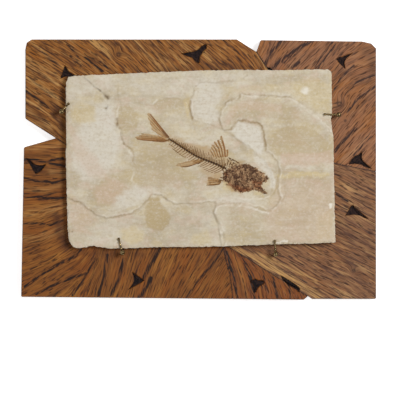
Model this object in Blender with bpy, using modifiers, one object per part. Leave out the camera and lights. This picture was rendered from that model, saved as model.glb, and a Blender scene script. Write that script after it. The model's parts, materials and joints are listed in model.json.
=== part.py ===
"""Fossil fish slab.

A small fossil herring in a thin limestone slab.  Four brass pins hold the slab on
a varnished oak board, which is glued up from five offcuts.  The whole thing lies
on its back: +X runs across the board towards the fish's snout, +Y to the board's
top edge and +Z out of the stone.  Metres; the origin is in the middle of the
board's underside.
"""
import math

import bmesh
import bpy
from mathutils import Vector

MM = 0.001

# ------------------------------------------------------------ driving sizes, mm
FIT_GAP = 0.3                  # between touching pieces
CUT_CLEAR = 1.0                # how far a cutter stands past the face it cuts

BOARD_THICK = 12.0
BOARD_EASE = 0.6               # chamfer on the board's edges
PIT_DEPTH = 2.0                # three-pointed carved pits
KNOT_DEPTH = 3.0               # knot hole and drying crack

SLAB_THICK = 7.0               # at the lowest bed
FISH_BED_RISE = 0.5            # each bed of stone above the lowest one
PALE_BED_RISE = 0.9
TAN_BED_RISE = 1.3
STONE_CRACK_DEPTH = 0.6
STONE_PIT_DEPTH = 0.4          # below the lowest bed

VERTEBRAE = 34
BEAD_RADIUS = 0.6              # half width of a vertebra
NAPE_BEADS = 6
NAPE_RADIUS = 0.45
WAIST = 0.55                   # a backbone's width between two beads, to the bead's
BONE_THICK = 0.5
BONE_TAPER = [(0.16, 0.2, 0.42), (0.6, 0.16, 0.36), (1, 0.08, 0.25)]   # share, half width, height
RIB_CURL = 18                  # degrees that a rib turns back along its length
FIN_THICK = 0.4
SKULL_THICK = 1.0
SKULL_EASE = 0.35
PLATE_SINK = 0.1               # how far a skull plate's middle is under the skull's face
SOCKET_RISE = 0.3              # the eye socket's ball is centred above that face
LENS_SINK = 0.6                # and the fossil lens in it below
LENS_RISE = 0.45

POST_RADIUS = 0.8
BALL_RADIUS = 1.9
ARM_RADIUS = 0.6
FOOT_RADIUS = 1.0
COLLAR_RADIUS = 0.95
COLLAR_PLACE = 3.0             # along the arm, from the post
COLLAR_HALF = 0.4              # half its length, and how far its slopes run on
COLLAR_SLOPE = 0.2
POST_DEPTH = 7.0               # length of post sunk in the board

SLAB_BASE = BOARD_THICK + FIT_GAP
LOW_BED = SLAB_BASE + SLAB_THICK
FISH_BED = LOW_BED + FISH_BED_RISE
PALE_BED = LOW_BED + PALE_BED_RISE
TAN_BED = LOW_BED + TAN_BED_RISE
BONE_BASE = FISH_BED + FIT_GAP

# ------------------------------------------------------- outlines, mm, in plan
BOARD_OUTLINE = [
    (-124.5, 86), (-124.5, 36.5), (-102.5, 22.5), (-125.5, 16), (-127.5, -91.5),
    (75.5, -93.5), (78.5, -91), (81.5, -93), (127.5, -93), (127.5, 87), (124, 90.5),
    (117.5, 92), (44.5, 93), (41.5, 84.5), (27.5, 93.5), (-120, 93.5), (-123.5, 91)]

# The cuts between the offcuts run from notch to notch and meet under the slab.
LEFT_NOTCH = (-102.5, 22.5)
TOP_NOTCH = (41.5, 84.5)
BOTTOM_NOTCH = (78.5, -91)
CORNER_MEET = (94.5, 5)
HIDDEN_MEET = (-35, -19.5)
WEDGE_POINT = (17, -52.5)
WEDGE_SIDE = [(19.5, -65), (22.5, -75), (25.5, -100)]
OFFCUTS = {
    "board_top_left": [LEFT_NOTCH, HIDDEN_MEET, CORNER_MEET, TOP_NOTCH, (39, 100), (-135, 100), (-135, 27)],
    "board_top_right": [TOP_NOTCH, CORNER_MEET, (135, -3), (135, 100), (39, 100)],
    "board_lower_right": [HIDDEN_MEET, WEDGE_POINT, BOTTOM_NOTCH, (78.5, -100), (135, -100), (135, -3),
                          CORNER_MEET],
    "board_bottom_wedge": [WEDGE_POINT, *WEDGE_SIDE, (78.5, -100), BOTTOM_NOTCH],
    "board_lower_left": [LEFT_NOTCH, (-135, 27), (-135, -100), *reversed(WEDGE_SIDE), WEDGE_POINT,
                         HIDDEN_MEET]}

# Carved pits: three tips, the hub where the arms meet, and the offcuts they are in.
PITS = [
    ([(-96, 74.5), (-88.5, 68), (-99.8, 65)], (-94.7, 68.1), ["board_top_left"]),
    ([(-13, 83), (7, 90.4), (-0.5, 76.5)], (-0.4, 84), ["board_top_left"]),
    ([(99, 79), (110, 83), (105, 72.5)], (103.6, 79.3), ["board_top_right"]),
    ([(108, 3.7), (117.7, 13), (124.5, 0.6)], (115.5, 6.2), ["board_top_right", "board_lower_right"]),
    ([(111, -24.7), (122, -35.4), (105.4, -33)], (111.9, -31.2), ["board_lower_right"]),
    ([(-47.8, -73.5), (-38.8, -79.8), (-50.7, -86.7)], (-44.7, -79.8), ["board_lower_left"]),
    ([(36.4, -80.2), (47.5, -79.9), (40.1, -88)], (42, -81.3), ["board_bottom_wedge"]),
    ([(-124.3, 7.6), (-109.5, 3.1), (-117.4, -3.2)], (-116.7, 2.2), ["board_lower_left"])]

KNOT_HOLE = [(48.2, 73.6), (51.2, 73.2), (53.4, 71.2), (51, 69.4), (48.9, 70.6)]
DRYING_CRACK = [(59.5, -78), (65.3, -82.1), (71.8, -85), (71.2, -88), (69.8, -86), (64.6, -83)]

SLAB_OUTLINE = [
    (-95.5, 65), (-95.6, 46.5), (-95.2, 28.5), (-95.6, 7), (-94.9, -20.5), (-94.5, -36), (-94, -48),
    (-93, -52), (-91, -55.2), (-88, -56.6), (-80, -55.6), (-75.5, -54.9), (-71.5, -56), (-62.5, -57),
    (-28.5, -55.9), (9, -55.6), (54.5, -54), (98.4, -52.6),
    (98.1, -32.5), (97.5, -7), (97.1, 22.5), (96, 29), (95.3, 34.5), (96.2, 42), (95.8, 54), (95.8, 69),
    (94.8, 71.2), (92.5, 72), (73, 71.8), (52, 71.4), (30, 71.7), (12, 71.3), (-6, 71), (-29, 70),
    (-51, 69.1), (-64.5, 68.4), (-78, 68), (-89.5, 67.4)]

# Ledges where beds of stone have flaked away.  Each outline is a hollow to cut.
ABOVE_TAN_BED = [
    (105, 20), (95.5, 25.5), (91, 31.5), (86, 38), (81, 43), (74.5, 46.5), (69, 50), (63, 52.5),
    (53.5, 55), (45, 54.5), (37.5, 53.3), (29, 55.5), (29, 51), (21, 47), (17.5, 43.5), (16, 38.5),
    (16, 33), (18.5, 29), (22, 27.5), (25, 28), (26, 30.5), (30.5, 34.5), (34, 35.5), (37.5, 34),
    (41.5, 33), (44, 30.5), (45.5, 23.5), (47, 17.5), (49, 13.5), (53.5, 8.5), (58, 4), (59.5, -1.5),
    (58, -11), (59, -19), (55.5, -26), (50, -30), (43, -28.5), (35.5, -26), (28.5, -24.5), (19, -24.5),
    (12.5, -26), (11, -31), (14, -36.5), (17, -43.5), (18.5, -49), (19.5, -65), (-105, -65), (-105, 80),
    (105, 80)]
ABOVE_FISH_BED = [
    (-56, 46), (-49.5, 48), (-41, 47), (-32.5, 46), (-29, 49.5), (-23, 51), (-16.5, 51), (-10, 50),
    (-6, 51.5), (-5.5, 46), (-4.5, 41), (-2.5, 35), (4.5, 34.5), (11, 32.5), (16, 29.5), (20.5, 26.5),
    (24, 23.5), (30, 20.5), (35, 19), (38.5, 15.5), (42, 12.5), (45.5, 9), (50, 5), (53, -1),
    (54, -7.5), (54.5, -14), (53, -19), (48.5, -21), (41.5, -21), (33.5, -20.3), (24, -20.3),
    (12, -20.5), (4.5, -22), (-6, -23), (-17, -22), (-23.5, -20.5), (-25.5, -17.5), (-31.5, -15.3),
    (-35, -16.5), (-42, -13), (-47, -7.5), (-45, -0.5), (-47, 6), (-47.5, 12), (-51, 17), (-54.5, 19),
    (-54.5, 23.5), (-56, 26.5), (-59, 29.5), (-57.5, 38.5)]
ABOVE_LOW_BED = [
    (-105, -19.5), (-94.5, -20), (-86, -25), (-75.5, -32), (-66, -35), (-51, -32), (-40, -26.5),
    (-34.5, -18.5), (-31, -16.5), (-25.5, -18.5), (-23.5, -21.8), (-17, -23.5), (-6, -24.5), (4.5, -23.5),
    (11.5, -22), (11.8, -25.5), (10.2, -31), (13.2, -36.8), (16.2, -43.7), (17.6, -49), (18.6, -65),
    (-105, -65)]
STONE_CRACK = [(-81.6, 64.6), (-74.6, 58.7), (-66.2, 51.2), (-65, 50.6), (-66, 52.6), (-74, 59.4)]
STONE_PITS = [(-65.6, 52, 1.1), (-66.1, 44, 0.9), (-90.7, -44.5, 0.6)]      # x, y, radius

# ---------------------------------------------------------------- the fish, mm
SPINE = [(-20.9, 21.6), (-16.3, 18.8), (-10.5, 15), (-5.7, 12), (-0.4, 8.9), (3.7, 7.3), (8.9, 5.4),
         (13.2, 3.6), (16.8, 1.9), (19.4, 0.9)]
# Along the spine, 0 at the tail: length of a neural spine and its lean, in degrees.
NEURAL_SPINES = [(0, 1.6, 122), (0.15, 3.6, 120), (0.35, 6.4, 116), (0.5, 7.6, 112), (0.62, 7.2, 106),
                 (0.72, 6, 104), (0.8, 3.8, 102), (0.86, 4.4, 100), (1, 7.2, 97)]
# The same for the spines and ribs under the backbone.
RIBS = [(0, 1.6, 238), (0.12, 3.6, 236), (0.27, 4.8, 234), (0.4, 3.8, 234), (0.47, 2.2, 232),
        (0.53, 0.8, 230), (0.64, 0.8, 226), (0.67, 4, 222), (0.72, 7.4, 222), (0.85, 9, 222), (1, 8, 220)]
NAPE_BONES = [(21.7, 8.3), (24.2, 7), (26.4, 5.4)]

TAIL_WEB = [(-21.8, 22.3), (-25.6, 27), (-30, 33), (-34.2, 39), (-36.2, 40.6), (-37.2, 38.4),
            (-35, 35.4), (-31.6, 30.8), (-28, 26.6), (-27.6, 24.6), (-33.6, 25.3), (-38.6, 26),
            (-45.2, 23.2), (-42, 21.5), (-33.6, 20.6), (-26.4, 19.9), (-22.6, 20.6)]
TAIL_RAYS = [((-23, 21.9), (-35.8, 39.8), 0.55), ((-24, 22.6), (-35.9, 37.4), 0.4),
             ((-25.4, 22.9), (-30.6, 30.2), 0.35), ((-25.4, 22.3), (-38.2, 25.3), 0.4),
             ((-24, 21.4), (-43.6, 22.9), 0.45), ((-23.4, 20.9), (-38, 21.7), 0.5)]
DORSAL_WEB = [(10.4, 9.6), (13, 8.9), (16.2, 9.6), (19.6, 9.9), (21.4, 10), (21.6, 13.6), (20, 12.4),
              (18.3, 16), (16.2, 24.1), (14.3, 22.7), (12.2, 20.6), (10.9, 17.8), (9.3, 15.8), (7.9, 14.2)]
DORSAL_RAYS = [((19.2, 10.5), (15.9, 23.6), 0.45), ((17.7, 10.5), (14.2, 22.1), 0.42),
               ((16, 10.3), (12.4, 20), 0.4), ((14.4, 9.9), (11.1, 17.4), 0.38),
               ((12.9, 9.7), (9.7, 15.3), 0.35), ((11.3, 10.1), (8.4, 13.9), 0.32),
               ((20.8, 10.6), (21.1, 13.1), 0.35)]
ANAL_WEB = [(-16.6, 3.3), (-13.4, 5.2), (-8.4, 6.9), (-3, 7.6), (0.4, 6.6), (2.4, 5.9), (0.8, 4.4),
            (-2.4, 2.7), (-7, 1.8), (-12.4, 2)]
ANAL_RAYS = [((0.8, 5.4), (-6, 2.5), 0.5), ((-0.6, 6.1), (-10.4, 2.8), 0.4),
             ((-2, 6.6), (-14.2, 3.2), 0.4), ((-3.6, 6.9), (-15.2, 3.8), 0.35)]
PELVIC_WEB = [(5.7, -11.2), (10, -11.5), (15, -10.7), (16, -9), (15.6, -7.2), (13, -6.6), (7.5, -4.8),
              (8, -7.6)]
PELVIC_RAYS = [((14.8, -9.9), (6.8, -10.9), 0.45), ((14.8, -9), (8.2, -9.3), 0.35),
               ((14.6, -8), (8.8, -7.2), 0.35), ((14.2, -7.4), (8.6, -5.6), 0.35)]

SKULL_OUTLINE = [
    (20.6, 0), (24.8, 1.9), (28.4, 2.9), (32, 4.4), (36.3, 3.3), (39.2, 1.9), (43.5, -1), (47.1, -3.9),
    (50.5, -6.5), (47.8, -8.3), (45, -9.8), (41.2, -11), (43.4, -12.6), (46.6, -14.5), (49.2, -17.2),
    (47.6, -17.7), (43.5, -15.4), (39.9, -14.4), (34.8, -15.9), (30.5, -16.3), (25.5, -14.7),
    (22, -11.4), (18.8, -8.6), (17, -6), (18.4, -1.9)]
# Bony plates on the skull: centre, half length, half width, rise, turn in degrees.
SKULL_PLATES = [
    ((33, 1.4), 6.5, 1.9, 0.7, -12), ((41.4, -2.4), 5.6, 1.5, 0.6, -36), ((27.2, -6.6), 5.2, 3.3, 0.8, 78),
    ((21.6, -3.6), 3.4, 1.2, 0.7, 62), ((33.4, -8.6), 4.4, 2.2, 0.6, 70), ((29.6, -13.6), 6.2, 1.5, 0.5, -8),
    ((45.4, -6.8), 4.4, 1.2, 0.6, -28), ((42, -13.6), 6.6, 0.8, 0.6, -33), ((39.2, -10), 2.6, 1.2, 0.4, -20)]
EYE_CENTRE = (37, -3.6)
EYE_RADIUS = 2.1

# Pins: the plan places of the post, and of the arm's foot on the stone.
PINS = {
    "pin_left": ((-98.3, 41.5), (-93.2, 47), PALE_BED),
    "pin_right": ((100.4, 39.2), (90.6, 39.5), PALE_BED),
    "pin_bottom_left": ((-54.6, -59.7), (-57.2, -49.8), LOW_BED),
    "pin_bottom_right": ((55.2, -60.8), (54.6, -51.4), TAN_BED)}
PIN_OFFCUTS = {"pin_left": "board_top_left", "pin_right": "board_top_right",
               "pin_bottom_left": "board_lower_left", "pin_bottom_right": "board_lower_right"}

# Facets round the turned and drilled shapes.
BORE_SIDES = 12
PIT_SIDES = 8
RAY_SIDES = 6
PIN_SIDES = 12
ARM_SIDES = 10
BALL_ROWS = 6
FOOT_ROWS = 4

OAK_COLOURS = {
    "board_top_left": (0.26, 0.13, 0.05), "board_top_right": (0.3, 0.16, 0.09),
    "board_lower_right": (0.26, 0.13, 0.07), "board_bottom_wedge": (0.24, 0.11, 0.05),
    "board_lower_left": (0.25, 0.12, 0.04)}


# ------------------------------------------------------------------- workshop
def clear_scene():
    for obj in list(bpy.data.objects):
        bpy.data.objects.remove(obj, do_unlink=True)


def new_collection(name):
    collection = bpy.data.collections.new(name)
    bpy.context.scene.collection.children.link(collection)
    return collection


def finish(name, colour, roughness, metallic=0.0):
    """A plain finish in the piece's own colour."""
    material = bpy.data.materials.new(name)
    material.use_nodes = True
    shader = material.node_tree.nodes["Principled BSDF"]
    shader.inputs["Base Color"].default_value = (*colour, 1)
    shader.inputs["Roughness"].default_value = roughness
    shader.inputs["Metallic"].default_value = metallic
    return material


def add_object(name, mesh, collection):
    obj = bpy.data.objects.new(name, mesh)
    collection.objects.link(obj)
    return obj


def mesh_from(bm, name):
    bmesh.ops.recalc_face_normals(bm, faces=bm.faces[:])
    mesh = bpy.data.meshes.new(name)
    bm.to_mesh(mesh)
    bm.free()
    return mesh


def as_tool(obj):
    """Keep a cutting or joining shape out of the finished thing."""
    obj.hide_render = True
    obj.display_type = "WIRE"
    return obj


def extruded(name, outline, low, high, collection):
    """A flat outline given thickness between two heights."""
    curve = bpy.data.curves.new(name, "CURVE")
    curve.dimensions = "2D"
    curve.fill_mode = "BOTH"
    curve.extrude = (high - low) / 2 * MM
    spline = curve.splines.new("POLY")
    spline.points.add(len(outline) - 1)
    for point, (x, y) in zip(spline.points, outline):
        point.co = (x * MM, y * MM, 0, 1)
    spline.use_cyclic_u = True
    drawn = add_object(name + "_outline", curve, collection)
    drawn.location.z = (low + high) / 2 * MM
    bpy.context.view_layer.update()
    mesh = bpy.data.meshes.new_from_object(drawn.evaluated_get(bpy.context.evaluated_depsgraph_get()))
    bm = bmesh.new()
    bm.from_mesh(mesh)
    bmesh.ops.remove_doubles(bm, verts=bm.verts[:], dist=1e-6)
    bmesh.ops.dissolve_limit(bm, angle_limit=math.radians(1), verts=bm.verts[:], edges=bm.edges[:])
    bmesh.ops.recalc_face_normals(bm, faces=bm.faces[:])
    if bm.calc_volume(signed=True) < 0:
        bmesh.ops.reverse_faces(bm, faces=bm.faces[:])
    bm.to_mesh(mesh)
    bm.free()
    place = drawn.matrix_world.copy()
    bpy.data.objects.remove(drawn)
    obj = add_object(name, mesh, collection)
    obj.matrix_world = place
    return obj


def round_cutter(name, centre, radius, low, high, sides, collection):
    """A straight-sided round hole to cut."""
    bm = bmesh.new()
    bmesh.ops.create_cone(bm, cap_ends=True, segments=sides, radius1=radius * MM, radius2=radius * MM,
                          depth=(high - low) * MM)
    obj = add_object(name, mesh_from(bm, name), collection)
    obj.location = (centre[0] * MM, centre[1] * MM, (low + high) / 2 * MM)
    return as_tool(obj)


def chamfer(obj, width):
    """Ease the edges that turn by more than 50 degrees."""
    bevel = obj.modifiers.new("eased_edges", "BEVEL")
    bevel.width = width * MM
    bevel.segments = 1
    bevel.limit_method = "ANGLE"
    bevel.angle_limit = math.radians(50)


def boolean(obj, tool, operation):
    change = obj.modifiers.new(tool.name, "BOOLEAN")
    change.operation = operation
    change.solver = "EXACT"
    change.object = tool


def inset(outline, distance):
    """The outline moved inwards by a distance and mitred; its points run anticlockwise."""
    moved = []
    for index, here in enumerate(outline):
        here = Vector(here)
        arriving = (here - Vector(outline[index - 1])).normalized()
        leaving = (Vector(outline[(index + 1) % len(outline)]) - here).normalized()
        inward = (arriving + leaving).normalized().orthogonal()
        moved.append(here + inward * distance / max(0.3, inward.dot(leaving.orthogonal())))
    return [(point.x, point.y) for point in moved]


def between(table, position):
    """Values read from rows of (position, value, value) by straight lines."""
    for low, high in zip(table, table[1:]):
        if position <= high[0]:
            share = (position - low[0]) / (high[0] - low[0])
            return [a + (b - a) * share for a, b in zip(low[1:], high[1:])]
    return list(table[-1][1:])


def turned(name, profile, steps, collection):
    """A shape turned about Z from rows of (radius, height), top to bottom."""
    bm = bmesh.new()
    points = [bm.verts.new((radius * MM, 0, height * MM)) for radius, height in profile]
    for start, end in zip(points, points[1:]):
        bm.edges.new((start, end))
    mesh = bpy.data.meshes.new(name)
    bm.to_mesh(mesh)
    bm.free()
    obj = add_object(name, mesh, collection)
    screw = obj.modifiers.new("turn", "SCREW")
    screw.axis = "Z"
    screw.steps = steps
    screw.render_steps = steps
    screw.use_merge_vertices = True
    screw.merge_threshold = 0.00001
    screw.use_smooth_shade = True
    return obj


# ------------------------------------------------------------------ the board
def pit_outline(tips, hub, bow=0.85, pull=2.4, steps=4):
    """Three tips joined by conic arcs that bow in towards the hub."""
    outline = []
    for index, tip in enumerate(tips):
        start = Vector(tip)
        end = Vector(tips[(index + 1) % len(tips)])
        control = ((start + end) / 2).lerp(Vector(hub), bow)
        for step in range(steps):
            share = step / steps
            weights = ((1 - share) ** 2, 2 * pull * share * (1 - share), share ** 2)
            point = start * weights[0] + control * weights[1] + end * weights[2]
            outline.append(point / sum(weights))
    return outline


def carving_tools(collection):
    """The cutters for the pits, the knot hole and the drying crack, by offcut."""
    tools = {name: [] for name in OFFCUTS}
    top = BOARD_THICK + CUT_CLEAR
    for number, (tips, hub, offcuts) in enumerate(PITS, start=1):
        pit = extruded(f"pit_{number}", pit_outline(tips, hub), BOARD_THICK - PIT_DEPTH, top, collection)
        for name in offcuts:
            tools[name].append(as_tool(pit))
    hole = extruded("knot_hole", KNOT_HOLE, BOARD_THICK - KNOT_DEPTH, top, collection)
    tools["board_top_right"].append(as_tool(hole))
    crack = extruded("drying_crack", DRYING_CRACK, BOARD_THICK - KNOT_DEPTH, top, collection)
    tools["board_lower_right"].append(as_tool(crack))
    for name, (post, _, _) in PINS.items():
        bore = round_cutter(name + "_bore", post, POST_RADIUS + FIT_GAP, BOARD_THICK - POST_DEPTH - FIT_GAP,
                            top, BORE_SIDES, collection)
        tools[PIN_OFFCUTS[name]].append(bore)
    return tools


def make_board(parts, tools):
    """Each offcut is the trimmed board's blank where its own region lies."""
    blank = extruded("board_blank", BOARD_OUTLINE, 0, BOARD_THICK, tools)
    chamfer(as_tool(blank), BOARD_EASE)
    carving = carving_tools(tools)
    for name, region in OFFCUTS.items():
        piece = extruded(name, inset(region, FIT_GAP / 2), -CUT_CLEAR, BOARD_THICK + CUT_CLEAR, parts)
        boolean(piece, blank, "INTERSECT")
        for tool in carving[name]:
            boolean(piece, tool, "DIFFERENCE")
        piece.data.materials.append(finish(name, OAK_COLOURS[name], 0.4))


# ------------------------------------------------------------------- the slab
def make_slab(parts, tools):
    """A sawn slab whose top has flaked away bed by bed."""
    slab = extruded("slab", SLAB_OUTLINE, SLAB_BASE, TAN_BED, parts)
    hollows = {"above_tan_bed": (ABOVE_TAN_BED, PALE_BED), "above_fish_bed": (ABOVE_FISH_BED, FISH_BED),
               "above_low_bed": (ABOVE_LOW_BED, LOW_BED),
               "stone_crack": (STONE_CRACK, PALE_BED - STONE_CRACK_DEPTH)}
    top = TAN_BED + CUT_CLEAR
    for name, (outline, floor) in hollows.items():
        hollow = as_tool(extruded(name, outline, floor, top, tools))
        boolean(slab, hollow, "DIFFERENCE")
    for number, (x, y, radius) in enumerate(STONE_PITS, start=1):
        pit = round_cutter(f"stone_pit_{number}", (x, y), radius, LOW_BED - STONE_PIT_DEPTH, top, PIT_SIDES,
                           tools)
        boolean(slab, pit, "DIFFERENCE")
    slab.data.materials.append(finish("limestone", (0.67, 0.58, 0.45), 0.9))


# ------------------------------------------------------------------- the fish
def start_bar(bm, centre, heading, half_width, height):
    """The first section of a bar, and for each corner its side and whether it is high."""
    bmesh.ops.create_circle(bm, cap_ends=True, segments=4, radius=MM)
    face = bm.faces[:][0]
    corners = [(1, False), (-1, False), (-1, True), (1, True)]
    place_section(face, corners, centre, left_of(heading), half_width, height)
    return face, corners


def left_of(heading):
    return Vector((-math.sin(heading), math.cos(heading)))


def place_section(face, corners, centre, across, half_width, height):
    for vert, (side, is_high) in zip(face.verts, corners):
        edge = centre + across * half_width * side
        vert.co = Vector((edge.x, edge.y, height if is_high else 0)) * MM


def push(bm, face, corners, centre, across, half_width, height):
    """Push a bar's end face on to its next section."""
    face = bmesh.ops.extrude_discrete_faces(bm, faces=[face])["faces"][0]
    place_section(face, corners, centre, across, half_width, height)
    return face


def along(path, share):
    """The point at a share of a path's length, and the path's heading there."""
    points = [Vector(point) for point in path]
    lengths = [(end - start).length for start, end in zip(points, points[1:])]
    left = share * sum(lengths)
    for start, end, length in zip(points, points[1:], lengths):
        if left <= length + 1e-6:
            break
        left -= length
    run = end - start
    return start + run * left / length, math.atan2(run.y, run.x)


def beaded_bar(bm, path, beads, radius):
    """A row of bead-like bones; returns each bead's two side faces, its place and its heading."""
    place, heading = along(path, 0)
    face, corners = start_bar(bm, place, heading, radius * WAIST, BONE_THICK * (0.5 + WAIST))
    first = list(face.verts)
    sides = []
    for step in range(1, 2 * beads + 1):
        place, heading = along(path, step / (2 * beads))
        is_bead = step % 2 == 1
        swell = 1 if is_bead else WAIST
        old = list(face.verts)
        face = push(bm, face, corners, place, left_of(heading), radius * swell, BONE_THICK * (0.5 + swell))
        if is_bead:
            new = list(face.verts)
            upper = bm.faces.get((old[3], old[0], new[0], new[3]))
            lower = bm.faces.get((old[1], old[2], new[2], new[1]))
            sides.append((upper, lower, step / (2 * beads), heading))
    bm.faces.new(reversed(first))
    return sides


def grow_bone(bm, face, spine_heading, length, lean, curl):
    """A tapering bone grown from one side face of a bead."""
    forward = Vector((math.cos(spine_heading), math.sin(spine_heading)))
    middle = face.calc_center_median()
    corners = [(1 if (vert.co - middle).to_2d().dot(forward) > 0 else -1, vert.co.z > middle.z)
               for vert in face.verts]
    place = middle.to_2d() / MM
    done = 0
    for share, half_width, height in BONE_TAPER:
        heading = math.radians(lean - curl * share)
        place = place + Vector((math.cos(heading), math.sin(heading))) * length * (share - done)
        done = share
        across = left_of(heading)
        if across.dot(forward) < 0:
            across = -across
        face = push(bm, face, corners, place, across, half_width, height)


def make_backbone(parts, fish):
    """Vertebrae with the neural spines, haemal spines and ribs that grow from them."""
    bm = bmesh.new()
    for upper, lower, share, heading in beaded_bar(bm, SPINE, VERTEBRAE, BEAD_RADIUS):
        length, lean = between(NEURAL_SPINES, share)
        grow_bone(bm, upper, heading, length, lean, 0)
        length, lean = between(RIBS, share)
        grow_bone(bm, lower, heading, length, lean, RIB_CURL)
    backbone = add_object("backbone", mesh_from(bm, "backbone"), parts)
    backbone.parent = fish
    backbone.data.materials.append(finish("fossil_bone_dark", (0.1, 0.05, 0.025), 0.6))


def make_nape_bones(parts, fish):
    """The short bones that lie loose behind the head."""
    bm = bmesh.new()
    beaded_bar(bm, NAPE_BONES, NAPE_BEADS, NAPE_RADIUS)
    nape = add_object("nape_bones", mesh_from(bm, "nape_bones"), parts)
    nape.parent = fish
    nape.data.materials.append(finish("fossil_bone_nape", (0.14, 0.07, 0.035), 0.6))


def make_fin(name, web, rays, parts, tools, fish):
    """A thin web with its rays standing proud of it."""
    fin = extruded(name, web, 0, FIN_THICK, parts)
    fin.parent = fish
    for number, (root, tip, width) in enumerate(rays, start=1):
        run = (Vector((*tip, 0)) - Vector((*root, 0)))
        bm = bmesh.new()
        bmesh.ops.create_cone(bm, cap_ends=True, segments=RAY_SIDES, radius1=width / 2 * MM,
                              radius2=width / 4 * MM, depth=run.length * MM)
        ray = as_tool(add_object(f"{name}_ray_{number}", mesh_from(bm, f"{name}_ray"), tools))
        ray.rotation_euler = run.to_track_quat("Z", "Y").to_euler()
        ray.location = (Vector((*root, FIN_THICK)) + run / 2) * MM
        ray.parent = fish
        boolean(fin, ray, "UNION")
    fin.data.materials.append(finish("fossil_" + name, (0.35, 0.23, 0.12), 0.7))


def dome(name, centre, half_length, half_width, rise, turn, height, collection):
    """A low oval dome lying at a height."""
    bm = bmesh.new()
    bmesh.ops.create_uvsphere(bm, u_segments=10, v_segments=6, radius=MM)
    bmesh.ops.scale(bm, vec=(half_length, half_width, rise), verts=bm.verts[:])
    obj = as_tool(add_object(name, mesh_from(bm, name), collection))
    obj.rotation_euler.z = math.radians(turn)
    obj.location = Vector((*centre, height)) * MM
    return obj


def make_skull(parts, tools, fish):
    """The crushed head: a low plate with bony plates on it, an eye socket and open jaws."""
    skull = extruded("skull", SKULL_OUTLINE, 0, SKULL_THICK, parts)
    skull.parent = fish
    chamfer(skull, SKULL_EASE)
    for number, (centre, half_length, half_width, rise, turn) in enumerate(SKULL_PLATES, start=1):
        plate = dome(f"skull_plate_{number}", centre, half_length, half_width, rise, turn,
                     SKULL_THICK - PLATE_SINK, tools)
        plate.parent = fish
        boolean(skull, plate, "UNION")
    socket = dome("eye_socket", EYE_CENTRE, EYE_RADIUS, EYE_RADIUS, 1, 0, SKULL_THICK + SOCKET_RISE, tools)
    socket.parent = fish
    boolean(skull, socket, "DIFFERENCE")
    lens = dome("eye_lens", EYE_CENTRE, EYE_RADIUS / 2, EYE_RADIUS / 2, LENS_RISE, 0,
                SKULL_THICK - LENS_SINK, tools)
    lens.parent = fish
    boolean(skull, lens, "UNION")
    skull.data.materials.append(finish("fossil_bone_skull", (0.12, 0.06, 0.035), 0.65))


# ------------------------------------------------------------------- the pins
def ball_profile(radius, centre, stem, rows):
    """Rows of (radius, height) down a ball from its top to where its stem begins."""
    last = math.pi - math.asin(stem / radius)
    angles = [last * row / rows for row in range(rows + 1)]
    return [(radius * math.sin(angle), centre + radius * math.cos(angle)) for angle in angles]


def make_pin(name, post, foot, bed, parts, tools):
    """A brass post with a ball on top and an arm that reaches over the stone's edge."""
    height = bed + FIT_GAP + FOOT_RADIUS
    reach = Vector((*foot, 0)) - Vector((*post, 0))
    sunk = BOARD_THICK - POST_DEPTH - height
    post_profile = [*ball_profile(BALL_RADIUS, 0, POST_RADIUS, BALL_ROWS), (POST_RADIUS, sunk), (0, sunk)]
    pin = turned(name, post_profile, PIN_SIDES, parts)
    pin.location = Vector((*post, height)) * MM
    arm_profile = [*ball_profile(FOOT_RADIUS, reach.length, ARM_RADIUS, FOOT_ROWS),
                   (ARM_RADIUS, COLLAR_PLACE + COLLAR_HALF + COLLAR_SLOPE),
                   (COLLAR_RADIUS, COLLAR_PLACE + COLLAR_HALF), (COLLAR_RADIUS, COLLAR_PLACE - COLLAR_HALF),
                   (ARM_RADIUS, COLLAR_PLACE - COLLAR_HALF - COLLAR_SLOPE),
                   (ARM_RADIUS, ARM_RADIUS), (0, ARM_RADIUS)]
    arm = as_tool(turned(name + "_arm", arm_profile, ARM_SIDES, tools))
    arm.rotation_euler = reach.to_track_quat("Z", "Y").to_euler()
    arm.location = pin.location
    boolean(pin, arm, "UNION")
    pin.data.materials.append(finish("brass_" + name, (0.42, 0.31, 0.14), 0.35, 1))


# ----------------------------------------------------------------- put together
def main():
    clear_scene()
    parts = new_collection("fossil_fish_slab")
    tools = new_collection("cutters")
    make_board(parts, tools)
    make_slab(parts, tools)
    fish = bpy.data.objects.new("fish", None)
    parts.objects.link(fish)
    fish.location.z = BONE_BASE * MM
    make_backbone(parts, fish)
    make_nape_bones(parts, fish)
    make_fin("tail_fin", TAIL_WEB, TAIL_RAYS, parts, tools, fish)
    make_fin("dorsal_fin", DORSAL_WEB, DORSAL_RAYS, parts, tools, fish)
    make_fin("anal_fin", ANAL_WEB, ANAL_RAYS, parts, tools, fish)
    make_fin("pelvic_fin", PELVIC_WEB, PELVIC_RAYS, parts, tools, fish)
    make_skull(parts, tools, fish)
    for name, (post, foot, bed) in PINS.items():
        make_pin(name, post, foot, bed, parts, tools)


main()
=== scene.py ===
"""Fossil fish slab: a small fossil herring in limestone, pinned on an oak board."""
import json
import math
import random

import bmesh
import bpy
import numpy as np
from mathutils import Matrix, Vector, noise


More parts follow.
